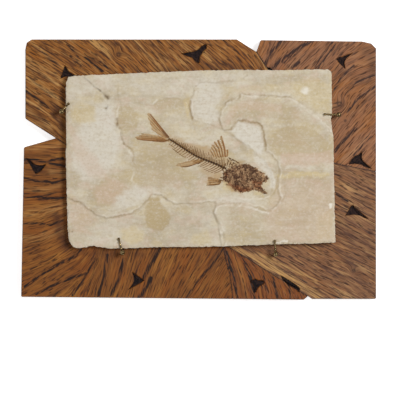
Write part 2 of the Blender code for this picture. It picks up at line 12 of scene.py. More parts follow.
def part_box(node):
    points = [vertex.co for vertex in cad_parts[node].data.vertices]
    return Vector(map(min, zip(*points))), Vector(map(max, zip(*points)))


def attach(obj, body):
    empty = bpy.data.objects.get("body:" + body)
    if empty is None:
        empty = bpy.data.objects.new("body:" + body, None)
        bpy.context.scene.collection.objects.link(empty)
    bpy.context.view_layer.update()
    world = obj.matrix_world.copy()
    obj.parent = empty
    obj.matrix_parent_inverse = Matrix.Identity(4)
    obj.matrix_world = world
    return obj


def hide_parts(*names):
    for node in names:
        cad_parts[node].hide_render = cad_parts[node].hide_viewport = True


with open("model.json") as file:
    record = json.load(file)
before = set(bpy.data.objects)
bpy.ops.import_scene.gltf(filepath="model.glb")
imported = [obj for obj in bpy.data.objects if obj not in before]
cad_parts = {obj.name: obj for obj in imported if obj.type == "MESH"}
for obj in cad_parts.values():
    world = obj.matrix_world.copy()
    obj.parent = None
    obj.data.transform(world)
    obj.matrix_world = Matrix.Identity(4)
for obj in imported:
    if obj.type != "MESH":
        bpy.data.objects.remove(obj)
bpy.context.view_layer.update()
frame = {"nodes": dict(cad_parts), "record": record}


# ------------------------------------------------------------------ oak board
# Five offcuts of flat-sawn European oak, glued edge to edge and cut flush, then stained and
# wiped with oil varnish.  The grain of each runs its own way and bends round small knots.
# Eight three-pointed pits, and a slot across a joint, were carved in the face and scorched.
MM = 0.001
BOARD_TOP = 12.0                   # mm
SAME = 0.01                        # mm, heights this close are the same
FACE_SKIN = 0.4                    # mm, how deep the face's own layer goes
GRAIN_GRID = 0.85                  # the face is cut this fine, so that the grain can bend
GRAIN_REACH = 200                  # grain lines run on straight past their ends
PIT_FLOOR = 10.0
JOINT_GAP = 0.45                   # mm, the most that an offcut stands off its joint
JOINT_CLOSED = 0.95                # share of the way that its edge is drawn to the joint
JOINTS = [
    [(-102.5, 22.5), (-35, -19.5), (94.5, 5), (41.5, 84.5)], [(94.5, 5), (135, -3)],
    [(-35, -19.5), (17, -52.5), (78.5, -91)], [(17, -52.5), (19.5, -65), (22.5, -75), (25.5, -100)]]
# Rims of the carved pits, mm in plan.
PIT_RIMS = [
    [(-96, 74.6), (-94.5, 72.4), (-93.3, 70.3), (-90.4, 68.1), (-87.2, 67.2), (-92.6, 66.1), (-96.2, 67),
     (-99.1, 65.6), (-98.1, 68.8), (-97.3, 71.7)],
    [(-12, 83.2), (-7.6, 84.2), (-3.3, 84.7), (-0.4, 86.1), (2.1, 88.6), (5.3, 90.1), (5.7, 87.2),
     (2.8, 84.3), (1, 81.1), (0.3, 76.4), (-1.9, 77.1), (-4.8, 80.4), (-8.4, 81.4)],
    [(99.1, 79.3), (101.1, 80.6), (104, 81.1), (106.8, 82.5), (110.1, 83.4), (107.9, 81.8), (105.7, 79.8),
     (104.7, 77.8), (104.7, 75.3), (105.3, 72.4), (103.2, 74.3), (101.1, 76.3)],
    [(108, 4), (109.7, 6.9), (112.2, 9.6), (114.8, 10.5), (117.3, 13), (116.4, 9.8), (117.1, 7.1),
     (119.8, 4.5), (124.1, 0.7), (120.5, 1.4), (116.9, 3.5), (112.6, 4.2)],
    [(105.4, -33.1), (107.3, -30.1), (109, -26.9), (110.3, -25.5), (113, -28.1), (116.6, -31),
     (121.7, -35.4), (118.4, -34.3), (114.8, -32.3), (109.7, -32.4)],
    [(-47.6, -73.7), (-45.4, -75.2), (-42.9, -77), (-40.4, -78.8), (-39.3, -79.6), (-41.5, -81.3),
     (-44, -82.7), (-46.9, -84.2), (-49.8, -86), (-47.6, -82.7), (-45.9, -80.2), (-45.6, -78.4),
     (-46.4, -76.2)],
    [(37, -80.2), (41, -78.5), (42.4, -79.5), (46.7, -79.8), (47.2, -81.6), (44.2, -83.5), (42, -85.7),
     (41.2, -88.1), (39.6, -87.8), (39.6, -84.2), (38.9, -82.4)],
    [(-123.9, 8), (-121, 6.6), (-118.9, 4.4), (-116, 2.6), (-112.8, 2.6), (-109.9, 3.7), (-111.3, 1.2),
     (-113.5, -1), (-115.3, -2.4), (-117.1, -3.2), (-118.9, -0.6), (-120.7, 2.6), (-122.5, 5.8)],
    [(58.8, -76), (65.6, -79.8), (71.8, -84.4), (73, -85.8), (71.6, -88), (70.4, -86.4), (64.8, -83.2),
     (60, -78.6)]]
PIT_GRID = 0.4                     # the face is cut this fine round a pit
PIT_MARGIN = 0.6                   # mm, and as far as this outside its rim
PIT_SUNK = 1.3                     # mm, how far the carved face lies down, and how unevenly
PIT_UNEVEN = 0.4
CHISEL_CELL = 0.9                  # 1 / mm
FLOOR_ROUGHNESS = 0.25             # mm, chisel marks in the pits
CHAR_FROM = 0.9                    # mm under the face where the char begins
CHAR_REACH = 1.2                   # mm under a pit's floor where it ends

# Lines that the grain follows, mm in plan, in order across each offcut; then its mean
# lean in degrees, and dark late-wood bands with their half width and strength.
OAK = {
    "board_top_left": {
        "lean": -40,
        "grain": [
            [(-128.5, 39.5), (-110.5, 30), (-95.5, 17.5), (-78, -0.5)],
            [(-128.5, 61), (-110.5, 49.5), (-95.5, 37), (-74.5, 17.5)],
            [(-128.5, 80.5), (-110.5, 69.5), (-95.5, 60), (-71, 41.5)],
            [(-125, 95), (-100, 81), (-82, 69.5), (-56.5, 50)],
            [(-98.5, 95), (-82, 83), (-64, 70.5), (-42, 50)],
            [(-74.5, 95), (-62.5, 83), (-49.5, 70.5), (-35, 50)],
            [(-53, 95), (-41, 83), (-29, 70.5), (-17, 50)], [(-31.5, 95), (-19, 83), (-6, 70.5), (8, 50)],
            [(-10, 95), (4.5, 84.5), (19, 70.5), (33.5, 50)],
            [(12, 95), (26, 84.5), (38.5, 70.5), (48, 50)], [(28.5, 95), (38.5, 86), (47, 70.5), (55, 50)]],
        "bands": [
            ([(-121, 65), (-113.5, 59), (-102.5, 51.5)], 0.7, 0.9),
            ([(-124, 56.5), (-113.5, 49), (-108, 44.5)], 0.9, 1), ([(-92, 81.5), (-84.5, 74)], 1, 0.8),
            ([(-81.5, 80.5), (-69, 70.5)], 1, 1), ([(-94.5, 90), (-86.5, 81.5)], 0.9, 0.7),
            ([(-110.5, 83.5), (-100, 74.5)], 0.7, 0.6), ([(-71, 77.5), (-59.5, 68)], 0.9, 0.7),
            ([(40.5, 89), (45.5, 79)], 1, 0.7), ([(-117, 72), (-104, 62)], 0.7, 0.6),
            ([(-121, 90), (-108, 80), (-100, 74)], 0.6, 0.5)],
        "smoked": [
            # The second patch darkens the wood just left of the stone.
            ([(-126, 52), (-118, 40), (-106, 26)], 3.5, 0.45), ([(-103, 42), (-98, 30)], 3, 0.7),
            ([(-30, 71), (0, 73.5), (36, 74)], 2.5, 0.4)],
        "knots": [((-57.5, 82.5), 1.7)],
        "pale": [
            ([(-126, 77), (-112, 68.5), (-101, 61.5)], 1.3, 0.6),
            ([(-126, 67.5), (-113, 58.5), (-101, 50)], 1.2, 0.55),
            ([(-126, 51.5), (-112, 42.5), (-101, 35)], 1.3, 0.6),
            ([(-118, 88), (-106, 79.5), (-94, 71)], 1.1, 0.5),
            ([(-126, 45), (-116, 38), (-106, 30)], 1.0, 0.45)]},
    "board_top_right": {
        "lean": 50,
        "grain": [
            [(91, -14.5), (109, 2.5), (130.5, 25)], [(87.5, -0.5), (105.5, 21.5), (130.5, 50)],
            [(86, 14), (100.5, 35.5), (112.5, 51.5), (130.5, 64.5)],
            [(86, 39.5), (98, 57.5), (109, 66), (130.5, 73)],
            [(86, 57.5), (94.5, 66), (105.5, 77.5), (130.5, 89.5)],
            [(73, 57.5), (84, 71.5), (94.5, 84.5), (103, 97)],
            [(62, 61), (73, 75.5), (89, 89.5), (98, 100.5)],
            [(53, 64.5), (61, 77.5), (71, 87.5), (84, 100.5)],
            [(45.5, 70.5), (50, 80.5), (57, 92), (62, 100.5)],
            [(37, 74.5), (43, 84.5), (46.5, 93.5), (50, 100.5)]],
        "bands": [
            ([(47, 75), (53.5, 86), (60, 92.5)], 1.3, 1),
            ([(53.5, 72.5), (58.5, 78.5), (70.5, 86.5), (82, 92.5)], 1.2, 1),
            ([(61, 77), (69.5, 83.5), (74, 88)], 1.2, 0.9), ([(66, 72.5), (72, 77)], 1.4, 0.9),
            ([(83.5, 73.5), (89.5, 83), (96, 91.5)], 0.7, 1),
            ([(85.5, 72.5), (92.5, 82), (100, 91.5)], 0.8, 1),
            ([(97.5, 58), (103.5, 67.5), (111.5, 75)], 0.8, 1),
            ([(105.5, 53.5), (113, 62.5), (127, 68)], 0.7, 0.9),
            ([(106.5, 41), (114, 50.5), (122, 56.5), (127, 59.5)], 0.9, 1),
            ([(98, 13), (103, 19.5), (113, 29.5)], 1.2, 1),
            ([(111.5, 10), (117, 16.5), (124.5, 24)], 0.8, 0.8),
            ([(88, 73), (98, 84), (103, 91)], 1.6, 0.35)],
        "smoked": [
            ([(119, 86), (126, 78), (126, 70)], 4, 0.45), ([(101, 72), (112, 66), (126, 62)], 3, 0.3)],
        "knots": [((101.3, 47), 1.9), ((105.4, 35), 0.7)],
        "pale": []},
    "board_lower_right": {
        "lean": -30,
        "grain": [
            [(-35, -19.5), (17, -52), (79, -91), (94.5, -101)],
            [(-28, -14.5), (22.5, -42), (73, -71), (127, -101)], [(37, -32.5), (73, -50.5), (127, -79.5)],
            [(73, -25.5), (98, -37.5), (130.5, -56.5)], [(80, -4), (102, -14.5), (130.5, -30.5)],
            [(87.5, 10.5), (105.5, 3.5), (130.5, -7.5)]],
        "bands": [
            ([(54.5, -69), (78, -81.5)], 0.5, 0.7), ([(99, -17.5), (107, -23)], 0.8, 0.9),
            ([(45.5, -55.5), (61, -63)], 0.8, 0.6), ([(46, -63), (64, -74)], 0.5, 0.6)],
        "smoked": [([(108, -66), (116, -76)], 3.5, 0.45), ([(100, -40), (126, -58)], 6, 0.35)],
        "knots": [((111.5, -72.5), 1.1)],
        "pale": [
            ([(22, -54), (42, -66), (57, -73.5), (70, -81), (86, -91)], 2.4, 1),
            ([(42, -60), (57, -67), (84, -80)], 1.1, 0.8)]},
    "board_bottom_wedge": {
        "lean": -72,
        "grain": [
            [(17.5, -50.5), (20.5, -66.5), (23.5, -76.5), (26, -94)],
            [(24, -53), (30.5, -63), (37.5, -76.5), (42, -94)],
            [(33.5, -58), (45.5, -73.5), (50, -83), (53, -94)],
            [(45.5, -63.5), (58.5, -78), (63, -85), (66, -94)], [(62, -76), (71.5, -85), (75, -94)]],
        "bands": [
            ([(20.5, -59), (22, -66.5), (25, -76.5), (28, -93)], 1.0, 1),
            ([(30.5, -60.5), (34.5, -70.5), (37.5, -78.5), (40.5, -92.5)], 1.1, 0.9),
            ([(53, -73.5), (54.5, -82.5), (56.5, -92.5)], 0.9, 0.9), ([(64.5, -82), (66, -92.5)], 0.7, 0.8),
            ([(46, -71), (48, -82), (49, -92.5)], 0.7, 0.6)],
        "smoked": [([(26, -74), (33, -92)], 2, 0.35)],
        "knots": [],
        "pale": []},
    "board_lower_left": {
        "lean": 38,
        "grain": [
            [(9.5, -95.5), (19, -79.5), (27, -66.5)], [(-8.5, -94), (7.5, -71.5), (17, -57), (21, -50.5)],
            [(-25.5, -95.5), (-15, -73.5), (-6, -56.5), (-2.5, -47)],
            [(-42, -94), (-36.5, -73.5), (-29, -57), (-25.5, -50.5)],
            [(-65, -95.5), (-60, -84), (-54.5, -63), (-51, -50.5)],
            [(-72.5, -95.5), (-68, -75), (-66.5, -61.5), (-64, -50.5)],
            [(-98.5, -97.5), (-90, -91), (-78, -74.5), (-71.5, -62), (-67.5, -47)],
            [(-121.5, -92.5), (-103.5, -84.5), (-82, -74), (-74.5, -63.5), (-69.5, -47)],
            [(-130, -86.5), (-110.5, -75), (-92, -63.5), (-78, -53), (-71.5, -42)],
            [(-130, -66.5), (-110.5, -59.5), (-92.5, -50.5), (-78, -37.5)],
            [(-130, -38.5), (-114, -37.5), (-95.5, -30.5), (-64, -22)],
            [(-128.5, -19), (-110.5, -19), (-95.5, -17.5), (-56.5, -14.5)],
            [(-128.5, -8), (-110.5, -9), (-95.5, -8), (-56.5, -7.5)],
            [(-128.5, 7), (-110.5, 6), (-95.5, 4), (-56.5, 2.5)],
            [(-128.5, 21.5), (-95.5, 23), (-56.5, 25)]],
        "bands": [
            ([(-125.5, 7), (-118, 7), (-108, 5), (-105, 7), (-97, 8)], 1.1, 1),
            ([(-108, 5), (-96, 2)], 1, 1),
            ([(-125.5, -6), (-118, -8), (-109, -8.5), (-105, -10), (-96, -7)], 1, 1),
            ([(-125, -20), (-116.5, -19.5), (-108, -20.5), (-95.5, -20.5)], 0.9, 1),
            ([(-113.5, -19.5), (-96, -14.5)], 1, 0.7),
            ([(-125.5, -39), (-116.5, -38.5), (-105.5, -40), (-97.5, -36.5)], 1, 0.8),
            ([(-125, -84), (-112, -75), (-100, -68), (-89, -62), (-84.5, -57.5)], 1, 1),
            ([(-117, -89.5), (-105.5, -84), (-93.5, -79), (-80.5, -74.5)], 0.9, 1),
            ([(-90.5, -90.5), (-80.5, -76), (-74.5, -64)], 0.9, 0.9),
            ([(-80.5, -87.5), (-76, -76), (-72.5, -64)], 0.8, 0.6),
            ([(-72, -90.5), (-68, -76), (-65.5, -61.5)], 1.2, 0.9),
            ([(-63, -90.5), (-58, -79), (-53.5, -64)], 1.2, 0.9),
            ([(-28, -57), (-31, -63), (-36, -71.5), (-39.5, -78)], 1.5, 1),
            ([(-34.5, -78), (-37.5, -85), (-42.5, -92)], 1.6, 0.9),
            ([(17, -57.5), (9.5, -69), (0, -79), (-8.5, -92)], 0.9, 1),
            ([(8, -58), (-6, -77), (-14, -92)], 0.7, 0.5)],
        "smoked": [
            # The second patch darkens the wood just left of the stone's lower left corner.
            ([(15, -60), (7, -72)], 3, 0.5), ([(-102, -34), (-99, -46), (-95, -56)], 3.6, 0.85),
            ([(-82, -60), (-62, -60), (-40, -61)], 3, 0.45), ([(-118, -2), (-98, -1)], 4, 0.35)],
        "knots": [],
        "pale": [
            ([(-126, 15), (-110, 16), (-97, 16.5)], 2.6, 0.4), ([(-106, -1.5), (-96, -2.5)], 2.6, 0.35),
            ([(-124, -14), (-110, -14.6), (-98, -11)], 1.6, 0.4),
            ([(-126, -31), (-112, -31), (-97, -26)], 3.4, 0.4),
            ([(-124, -50), (-108, -47), (-97, -43)], 2.6, 0.35)]}}

# Stain colours: light early wood, body, warm patches, late wood and the darkest pores;
# then how closely lined with late wood the offcut is, 0 to 1.
OAK_STAINS = {
    "board_top_left": ("#b98b50", "#945e26", "#9a5d18", "#543017", "#281409", 0.8),
    "board_top_right": ("#aa7b56", "#956443", "#9b6027", "#65442f", "#3b231b", 0.3),
    "board_lower_right": ("#b58b5c", "#8a6040", "#8a5a33", "#553628", "#301c15", 0.65),
    "board_bottom_wedge": ("#9c652c", "#834b1d", "#854514", "#4e2b14", "#241108", 0.25),
    "board_lower_left": ("#a0692a", "#84501e", "#884b14", "#553016", "#2a150b", 0.15)}
ARRIS_SHADE = 0.55                 # painted shade along the offcuts' upright sides and rounded edges; at the joints it stands for the dark joint lines
WISP = "#c79b60"                   # pale fibres where the varnish is thin
DUSKY = "#bcb1a8"                  # the finest fibres, darker and lighter
CREAMY = "#fff5ea"
CHAR = "#150f12"
SINGED = "#3d2a24"


def linear(code):
    """An sRGB hex colour as linear red, green, blue and alpha."""
    values = [int(code[place:place + 2], 16) / 255 for place in (1, 3, 5)]
    return (*[v / 12.92 if v <= 0.04045 else ((v + 0.055) / 1.055) ** 2.4 for v in values], 1)


def add_node(material, kind, *values, output=0, cell=None, seed=0.0, turn=0.0, **settings):
    """Add a shader node and give its output.  Values fill its open inputs in order: a number,
    a hex colour, an output to link, or None for one left alone.  A pattern's cells are as long,
    wide and deep as cell says, in mm, shifted by a seed and turned in plan by radians."""
    tree = material.node_tree
    made = tree.nodes.new("ShaderNode" + kind)
    if cell:
        placed = add_node(material, "Mapping", values[0], (seed, seed, 0), (0, 0, turn), cell,
                          vector_type="TEXTURE")
        values = (placed, 1.0, *values[1:])
    for name, value in settings.items():
        if name == "stops":
            elements = made.color_ramp.elements
            while len(elements) < len(value):
                elements.new(1)
            for element, (position, colour) in zip(elements, value):
                element.position = position
                element.color = linear(colour)
        else:
            setattr(made, name, value)
    for socket, value in zip([socket for socket in made.inputs if socket.enabled], values):
        if isinstance(value, bpy.types.NodeSocket):
            tree.links.new(value, socket)
        elif value is not None:
            socket.default_value = linear(value) if isinstance(value, str) else value
    return made.outputs[output] if output else next(socket for socket in made.outputs if socket.enabled)


def new_material(name):
    """An empty material and its Principled shader."""
    material = bpy.data.materials.new(name)
    material.use_nodes = True
    return material, material.node_tree.nodes["Principled BSDF"]


def distance_to(points, line, closed=False):
    """Each point's distance to a line of straight runs."""
    ends = line[1:] + line[:1] if closed else line[1:]
    best = np.full(len(points), np.inf)
    for start, end in zip(line, ends):
        start = np.array(start, float)
        run = np.array(end) - start
        share = np.clip((points - start) @ run / (run @ run), 0, 1)
        best = np.minimum(best, np.hypot(*(points - start - share[:, None] * run).T))
    return best


def side_distance(points, line):
    """Distance to a line that runs on past its ends: positive on its left."""
    ahead = (Vector(line[-1]) - Vector(line[-2])).normalized() * GRAIN_REACH
    behind = (Vector(line[0]) - Vector(line[1])).normalized() * GRAIN_REACH
    long_line = [tuple(Vector(line[0]) + behind), *line, tuple(Vector(line[-1]) + ahead)]
    best = np.full(len(points), np.inf)
    side = np.ones(len(points))
    for start, end in zip(long_line, long_line[1:]):
        start = np.array(start, float)
        run = np.array(end) - start
        offset = points - start
        share = np.clip(offset @ run / (run @ run), 0, 1)
        distance = np.hypot(*(offset - share[:, None] * run).T)
        nearer = distance < best - 1e-9
        best[nearer] = distance[nearer]
        side[nearer] = np.sign(run[0] * offset[nearer, 1] - run[1] * offset[nearer, 0])
    return best * side


def across_grain(points, lines):
    """How far across the grain each point lies, in mm, read between grain lines."""
    sides = [side_distance(points, line) for line in lines]
    places = [0.0]
    for line, after in zip(lines, lines[1:]):
        places.append(places[-1] + distance_to(np.array(after, float), line).mean())
    across = places[0] + sides[0]
    for low, high, near, far in zip(places, places[1:], sides, sides[1:]):
        between = near >= 0
        gap = np.maximum(near - far, 1e-6)
        across = np.where(between, low + (high - low) * np.clip(near / gap, 0, 1), across)
        across = np.where(far >= 0, high + far, across)
    return across


def painted_lines(points, lines):
    """Soft lines with a half width and a strength each; the strongest counts."""
    value = np.zeros(len(points))
    for line, half_width, strength in lines:
        value = np.maximum(value, strength * np.exp(-(distance_to(points, line) / half_width) ** 2))
    return value


def joint_pull(x, y):
    """How far a point beside a joint is from the joint's middle, in x and y."""
    best = Vector((1, 1)) * GRAIN_REACH
    for line in JOINTS:
        for start, end in zip(line, line[1:]):
            start, run = Vector(start), Vector(end) - Vector(start)
            share = min(max((Vector((x, y)) - start).dot(run) / run.length_squared, 0), 1)
            away = start + run * share - Vector((x, y))
            if away.length < best.length:
                best = away
    return best


def is_inside(points, outline):
    """Which points lie inside a closed outline."""
    inside = np.zeros(len(points), bool)
    for (x0, y0), (x1, y1) in zip(outline, outline[1:] + outline[:1]):
        crosses = (y0 > points[:, 1]) != (y1 > points[:, 1])
        at = x0 + (points[:, 1] - y0) * (x1 - x0) / (y1 - y0 if y1 != y0 else 1)
        inside ^= crosses & (points[:, 0] < at)
    return inside


def inner_distance(points, outline):
    """Distance in from a closed outline, negative outside it."""
    away = distance_to(points, outline, closed=True)
    return np.where(is_inside(points, outline), away, -away)


def scorched(points, softness):
    """How deep in a pit each point is: 1 inside a rim, fading over this many mm."""
    value = np.zeros(len(points))
    for rim in PIT_RIMS:
        value = np.maximum(value, eased(inner_distance(points, rim) / softness + 0.5))
    return value


def eased(value):
    """0 to 1 with a soft start and end."""
    value = np.clip(value, 0, 1)
    return value * value * (3 - 2 * value)


def paint(mesh, name, values):
    """Store one number, or three, for each vertex."""
    values = np.asarray(values, np.float32)
    if values.ndim == 1:
        mesh.attributes.new(name, "FLOAT", "POINT").data.foreach_set("value", values)
    else:
        mesh.attributes.new(name, "FLOAT_VECTOR", "POINT").data.foreach_set("vector", values.ravel())


def vertex_places(mesh):
    """All vertices, in mm."""
    places = np.empty(len(mesh.vertices) * 3, np.float32)
    mesh.vertices.foreach_get("co", places)
    return places.reshape(-1, 3).astype(float) / MM


def add_piece(name, bm, material, slot, *nodes):
    """Link a finished mesh to the scene in place of its plain solids."""
    mesh = bpy.data.meshes.new(name)
    bm.to_mesh(mesh)
    bm.free()
    mesh.materials.append(material)
    piece = bpy.data.objects.new(name, mesh)
    bpy.context.scene.collection.objects.link(piece)
    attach(piece, "root")
    if nodes:
        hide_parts(*nodes)
    return piece


def cut_across(bm, faces, axis, places):
    """Cut faces at each place along an axis, halving the work at each cut."""
    if not places or not faces:
        return faces
    middle = len(places) // 2
    normal = Vector((axis == 0, axis == 1, 0))
    geometry = faces + list({item for face in faces for item in (*face.edges, *face.verts)})
    cut = bmesh.ops.bisect_plane(bm, geom=geometry, dist=1e-7, plane_co=normal * places[middle],
                                 plane_no=normal)
    halves = ([], [])
    for item in cut["geom"]:
        if isinstance(item, bmesh.types.BMFace):
            halves[int(item.calc_center_median()[axis] > places[middle])].append(item)
    return (cut_across(bm, halves[0], axis, places[:middle])
            + cut_across(bm, halves[1], axis, places[middle + 1:]))


def gridded(node, step):
    """A copy of a solid whose faces are cut on a grid in plan, finely round the pits."""
    bm = bmesh.new()
    bm.from_mesh(frame["nodes"][node].data)
    bmesh.ops.remove_doubles(bm, verts=bm.verts[:], dist=1e-6)
    bmesh.ops.dissolve_limit(bm, angle_limit=math.radians(1), verts=bm.verts[:], edges=bm.edges[:])
    low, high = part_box(node)
    faces = bm.faces[:]
    for axis in (0, 1):
        cuts = int((high[axis] - low[axis]) / (step * MM))
        faces = cut_across(bm, faces, axis, list(np.linspace(low[axis], high[axis], cuts + 2)[1:-1]))
    for rim in PIT_RIMS:
        start, end = np.min(rim, axis=0) - PIT_MARGIN, np.max(rim, axis=0) + PIT_MARGIN
        near = []
        for face in bm.faces:
            x, y, z = face.calc_center_median() / MM
            if z > BOARD_TOP - FACE_SKIN and start[0] < x < end[0] and start[1] < y < end[1]:
                near.append(face)
        for axis in (0, 1):
            near = cut_across(bm, near, axis, list(np.arange(start[axis], end[axis], PIT_GRID) * MM))
    return bm


def on_a_side(vert):
    """Whether a vertex lies on an upright face."""
    return any(abs(face.normal.z) < 0.1 for face in vert.link_faces)


def oak(name, stains):
    """Stained oak under oil varnish: fibres, open pores and late-wood bands."""
    light, body, warm, late, pore, lined = stains
    material, shader = new_material(name)
    grain = add_node(material, "Attribute", attribute_name="grain", output="Vector")
    # The grain wanders: a millimetre sideways over some 40 mm of its length.
    wander = add_node(material, "TexNoise", grain, cell=(45, 16, 16), seed=3.1)
    sideways = add_node(material, "Math", wander, 4.0, -2.0, operation="MULTIPLY_ADD")
    shift = add_node(material, "CombineXYZ", 0.0, sideways)
    along = add_node(material, "VectorMath", grain, shift, operation="ADD")
    # Growth rings show as broad streaks, and stain has taken unevenly over them.
    rings = add_node(material, "TexNoise", along, 3, 0.6, cell=(80, 4.5, 8), seed=1.7)
    patches = add_node(material, "TexNoise", grain, cell=(40, 16, 16), seed=2.2)
    figure = add_node(material, "Math", patches, 0.6, rings, operation="MULTIPLY_ADD")
    wood = add_node(material, "ValToRGB", figure,
                    stops=[(0.5, late), (0.66, body), (0.86, body), (1.0, light)])
    tint = add_node(material, "TexNoise", grain, cell=(30, 11, 11), seed=6.6)
    # Fibres: pale ones between dark pores.  Real pores are 0.3 mm wide, too fine to show, and
    # are drawn as dashes on cells 8 mm long and 1 mm wide.
    fibre = add_node(material, "TexNoise", along, 2, 0.6, cell=(13, 1.3, 1.3), seed=5.3)
    dashes = add_node(material, "TexNoise", along, 1.5, 0.5, cell=(8, 1.1, 1.1), seed=8.9, turn=0.06)
    layers = []
    for value, low, high, strength, colour in (
            (tint, 0.46, 0.64, 0.7, warm), (fibre, 0.45, 0.33, 0.65, light),
            (fibre, 0.6 - 0.08 * lined, 0.66 - 0.07 * lined, 0.8, late),
            (dashes, 0.6 - 0.03 * lined, 0.66 - 0.03 * lined, 0.75, pore)):
        layers.append((add_node(material, "MapRange", value, low, high, 0.0, strength), colour))
    smoke, band, pale, arris, char = [
        add_node(material, "Attribute", attribute_name=name, output="Fac")
        for name in ("smoke", "band", "pale", "arris", "char")]
    # Late-wood bands: a soft dark ground under feathered, slanting pores.
    ground = add_node(material, "Math", band, 0.45, operation="MULTIPLY")
    feathers = add_node(material, "TexNoise", along, 2, 0.6, cell=(7, 1.2, 1.2), seed=12.0, turn=0.16)
    broken = add_node(material, "Math", feathers, 4.0, -1.25, operation="MULTIPLY_ADD")
    banded = add_node(material, "Math", band, broken, operation="MULTIPLY")
    feathered = add_node(material, "MapRange", banded, 0.25, 0.6)
    wispy = add_node(material, "MapRange", fibre, 0.64, 0.42)
    wisps = add_node(material, "Math", pale, wispy, operation="MULTIPLY")
    for share, colour in (*layers, (smoke, late), (ground, late), (feathered, pore), (wisps, WISP)):
        wood = add_node(material, "Mix", share, wood, colour, data_type="RGBA")
    fine = add_node(material, "TexNoise", along, 2, 0.6, cell=(16, 0.7, 0.7), seed=11.0)
    shade = add_node(material, "ValToRGB", fine, stops=[(0.36, DUSKY), (0.5, "#ffffff"), (0.66, CREAMY)])
    wood = add_node(material, "Mix", 1.0, wood, shade, data_type="RGBA", blend_type="MULTIPLY")
    soot = add_node(material, "TexNoise", grain, 3, 0.6, cell=(2.2, 1.6, 1.6), seed=4.4)
    singed = add_node(material, "MapRange", soot, 0.42, 0.7)
    burnt = add_node(material, "Mix", singed, CHAR, SINGED, data_type="RGBA")
    # Painted shade at the edges and dark rings round the knots, then the char in the pits.
    for share, colour in ((arris, pore), (char, burnt)):
        wood = add_node(material, "Mix", share, wood, colour, data_type="RGBA")
    pitted = add_node(material, "MapRange", dashes, 0.57, 0.66)
    gloss = add_node(material, "Math", pitted, 0.2, 0.42, operation="MULTIPLY_ADD")
    roughness = add_node(material, "Math", char, 0.45, gloss, operation="MULTIPLY_ADD")
    height = add_node(material, "Math", fibre, pitted, operation="SUBTRACT")
    bump = add_node(material, "Bump", 0.5, 0.0002, None, height)
    shader.inputs["IOR"].default_value = 1.5
    shader.inputs["Specular IOR Level"].default_value = 0.22
    for name, output in (("Base Color", wood), ("Roughness", roughness), ("Normal", bump)):
        material.node_tree.links.new(output, shader.inputs[name])
    return material


for node, plan in OAK.items():
    board_bm = gridded(node, GRAIN_GRID)
    low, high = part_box(node)
    slot = next(part["material_slot"] for part in frame["record"]["subparts"] if part["node"] == node)
    deep_in = scorched(np.array([vert.co.xy for vert in board_bm.verts]) / MM, 1.0)
    # Painted shade: every vertex on an upright face, at the offcuts' edges and joints, is darkened.
    edges = [ARRIS_SHADE * on_a_side(vert) for vert in board_bm.verts]
    for vert, depth in zip(board_bm.verts, deep_in):
        x, y, z = vert.co / MM
        if abs(z - PIT_FLOOR) < SAME:
            vert.co.z += noise.noise(vert.co / MM * CHISEL_CELL) * FLOOR_ROUGHNESS * MM
        if abs(z - BOARD_TOP) < SAME and depth > 0:
            vert.co.z -= depth * (PIT_SUNK + PIT_UNEVEN * noise.noise(vert.co / MM * CHISEL_CELL)) * MM
        pull = joint_pull(x, y)
        if pull.length < JOINT_GAP and on_a_side(vert):
            vert.co.x = min(max(vert.co.x + pull.x * MM * JOINT_CLOSED, low.x), high.x)
            vert.co.y = min(max(vert.co.y + pull.y * MM * JOINT_CLOSED, low.y), high.y)
    board = add_piece(node + "_oak", board_bm, oak(node + "_varnished_oak", OAK_STAINS[node]), slot, node)
    places = vertex_places(board.data)
    flat = places[:, :2]
    lean = math.radians(plan["lean"])
    along = flat @ np.array([math.cos(lean), math.sin(lean)])
    across = across_grain(flat, plan["grain"])
    seams = [(line, 0.5, 0.8) for line in JOINTS]
    bands = painted_lines(flat, plan["bands"] + seams)
    smoke = painted_lines(flat, plan["smoked"])
    for (x, y), radius in plan["knots"]:
        away = np.hypot(flat[:, 0] - x, flat[:, 1] - y)
        across = across + 3.5 * np.exp(-(away / (2.5 * radius)) ** 2)
        smoke = np.maximum(smoke, 0.5 * np.exp(-(away / (1.6 * radius)) ** 2))
        edges = np.maximum(edges, 0.85 * np.exp(-((away - 0.75 * radius) / 0.5) ** 2))
    paint(board.data, "grain", np.column_stack([along, across, places[:, 2]]))
    paint(board.data, "band", bands)
    paint(board.data, "smoke", smoke)
    paint(board.data, "arris", edges)
    paint(board.data, "pale", painted_lines(flat, plan["pale"]))
    char = np.where(places[:, 2] > PIT_FLOOR - CHAR_REACH, scorched(flat, 0.5), 0)
    normals = np.empty(len(places) * 3, np.float32)
    board.data.vertices.foreach_get("normal", normals)
    sunk = (places[:, 2] < BOARD_TOP - CHAR_FROM) & (places[:, 2] > PIT_FLOOR - CHAR_REACH)
    char[sunk & (normals.reshape(-1, 3)[:, 2] > 0.4)] = 1
    paint(board.data, "char", char)


# -------------------------------------------------------------- limestone slab
# Laminated lake-bed limestone, 7 to 8 mm thick, sawn on the right and bottom and broken by
# hand at the left and top.  Its face is a split bed: thin layers have flaked off in steps,
# iron has stained some of them tan, and the ledges hold dust.
SLAB_BASE = 12.3                   # mm
TAN_LEVEL = 20.38                  # mm, heights of the beds
PALE_LEVEL = 20.05
FISH_LEVEL = 19.8
LOW_LEVEL = 19.35
SLAB_CELLS = (340, 226)            # the face is a grid of cells 0.57 mm wide
SIDE_ROWS = 8                      # rows of faces down the sides
LEDGE_SPREAD = 0.9                 # mm, how softly a bed's broken edge falls away
STEP_SPREAD = 0.35
LAMINA_CELL = 34                   # mm, and how many thin layers show, and their rise
LAMINAE = 3.2
LAMINA_RISE = 0.045
PIT_DEPTH = 0.5
RIM_WEAR = (0.45, 0.9)             # mm lost at the rim: everywhere, and where it is chipped
RIM_REACH = (0.9, 1.2)             # mm, how far in from the rim
HALF_SIZE = (97, 62)               # mm; with the power below it tells which way is out
SQUARENESS = 7

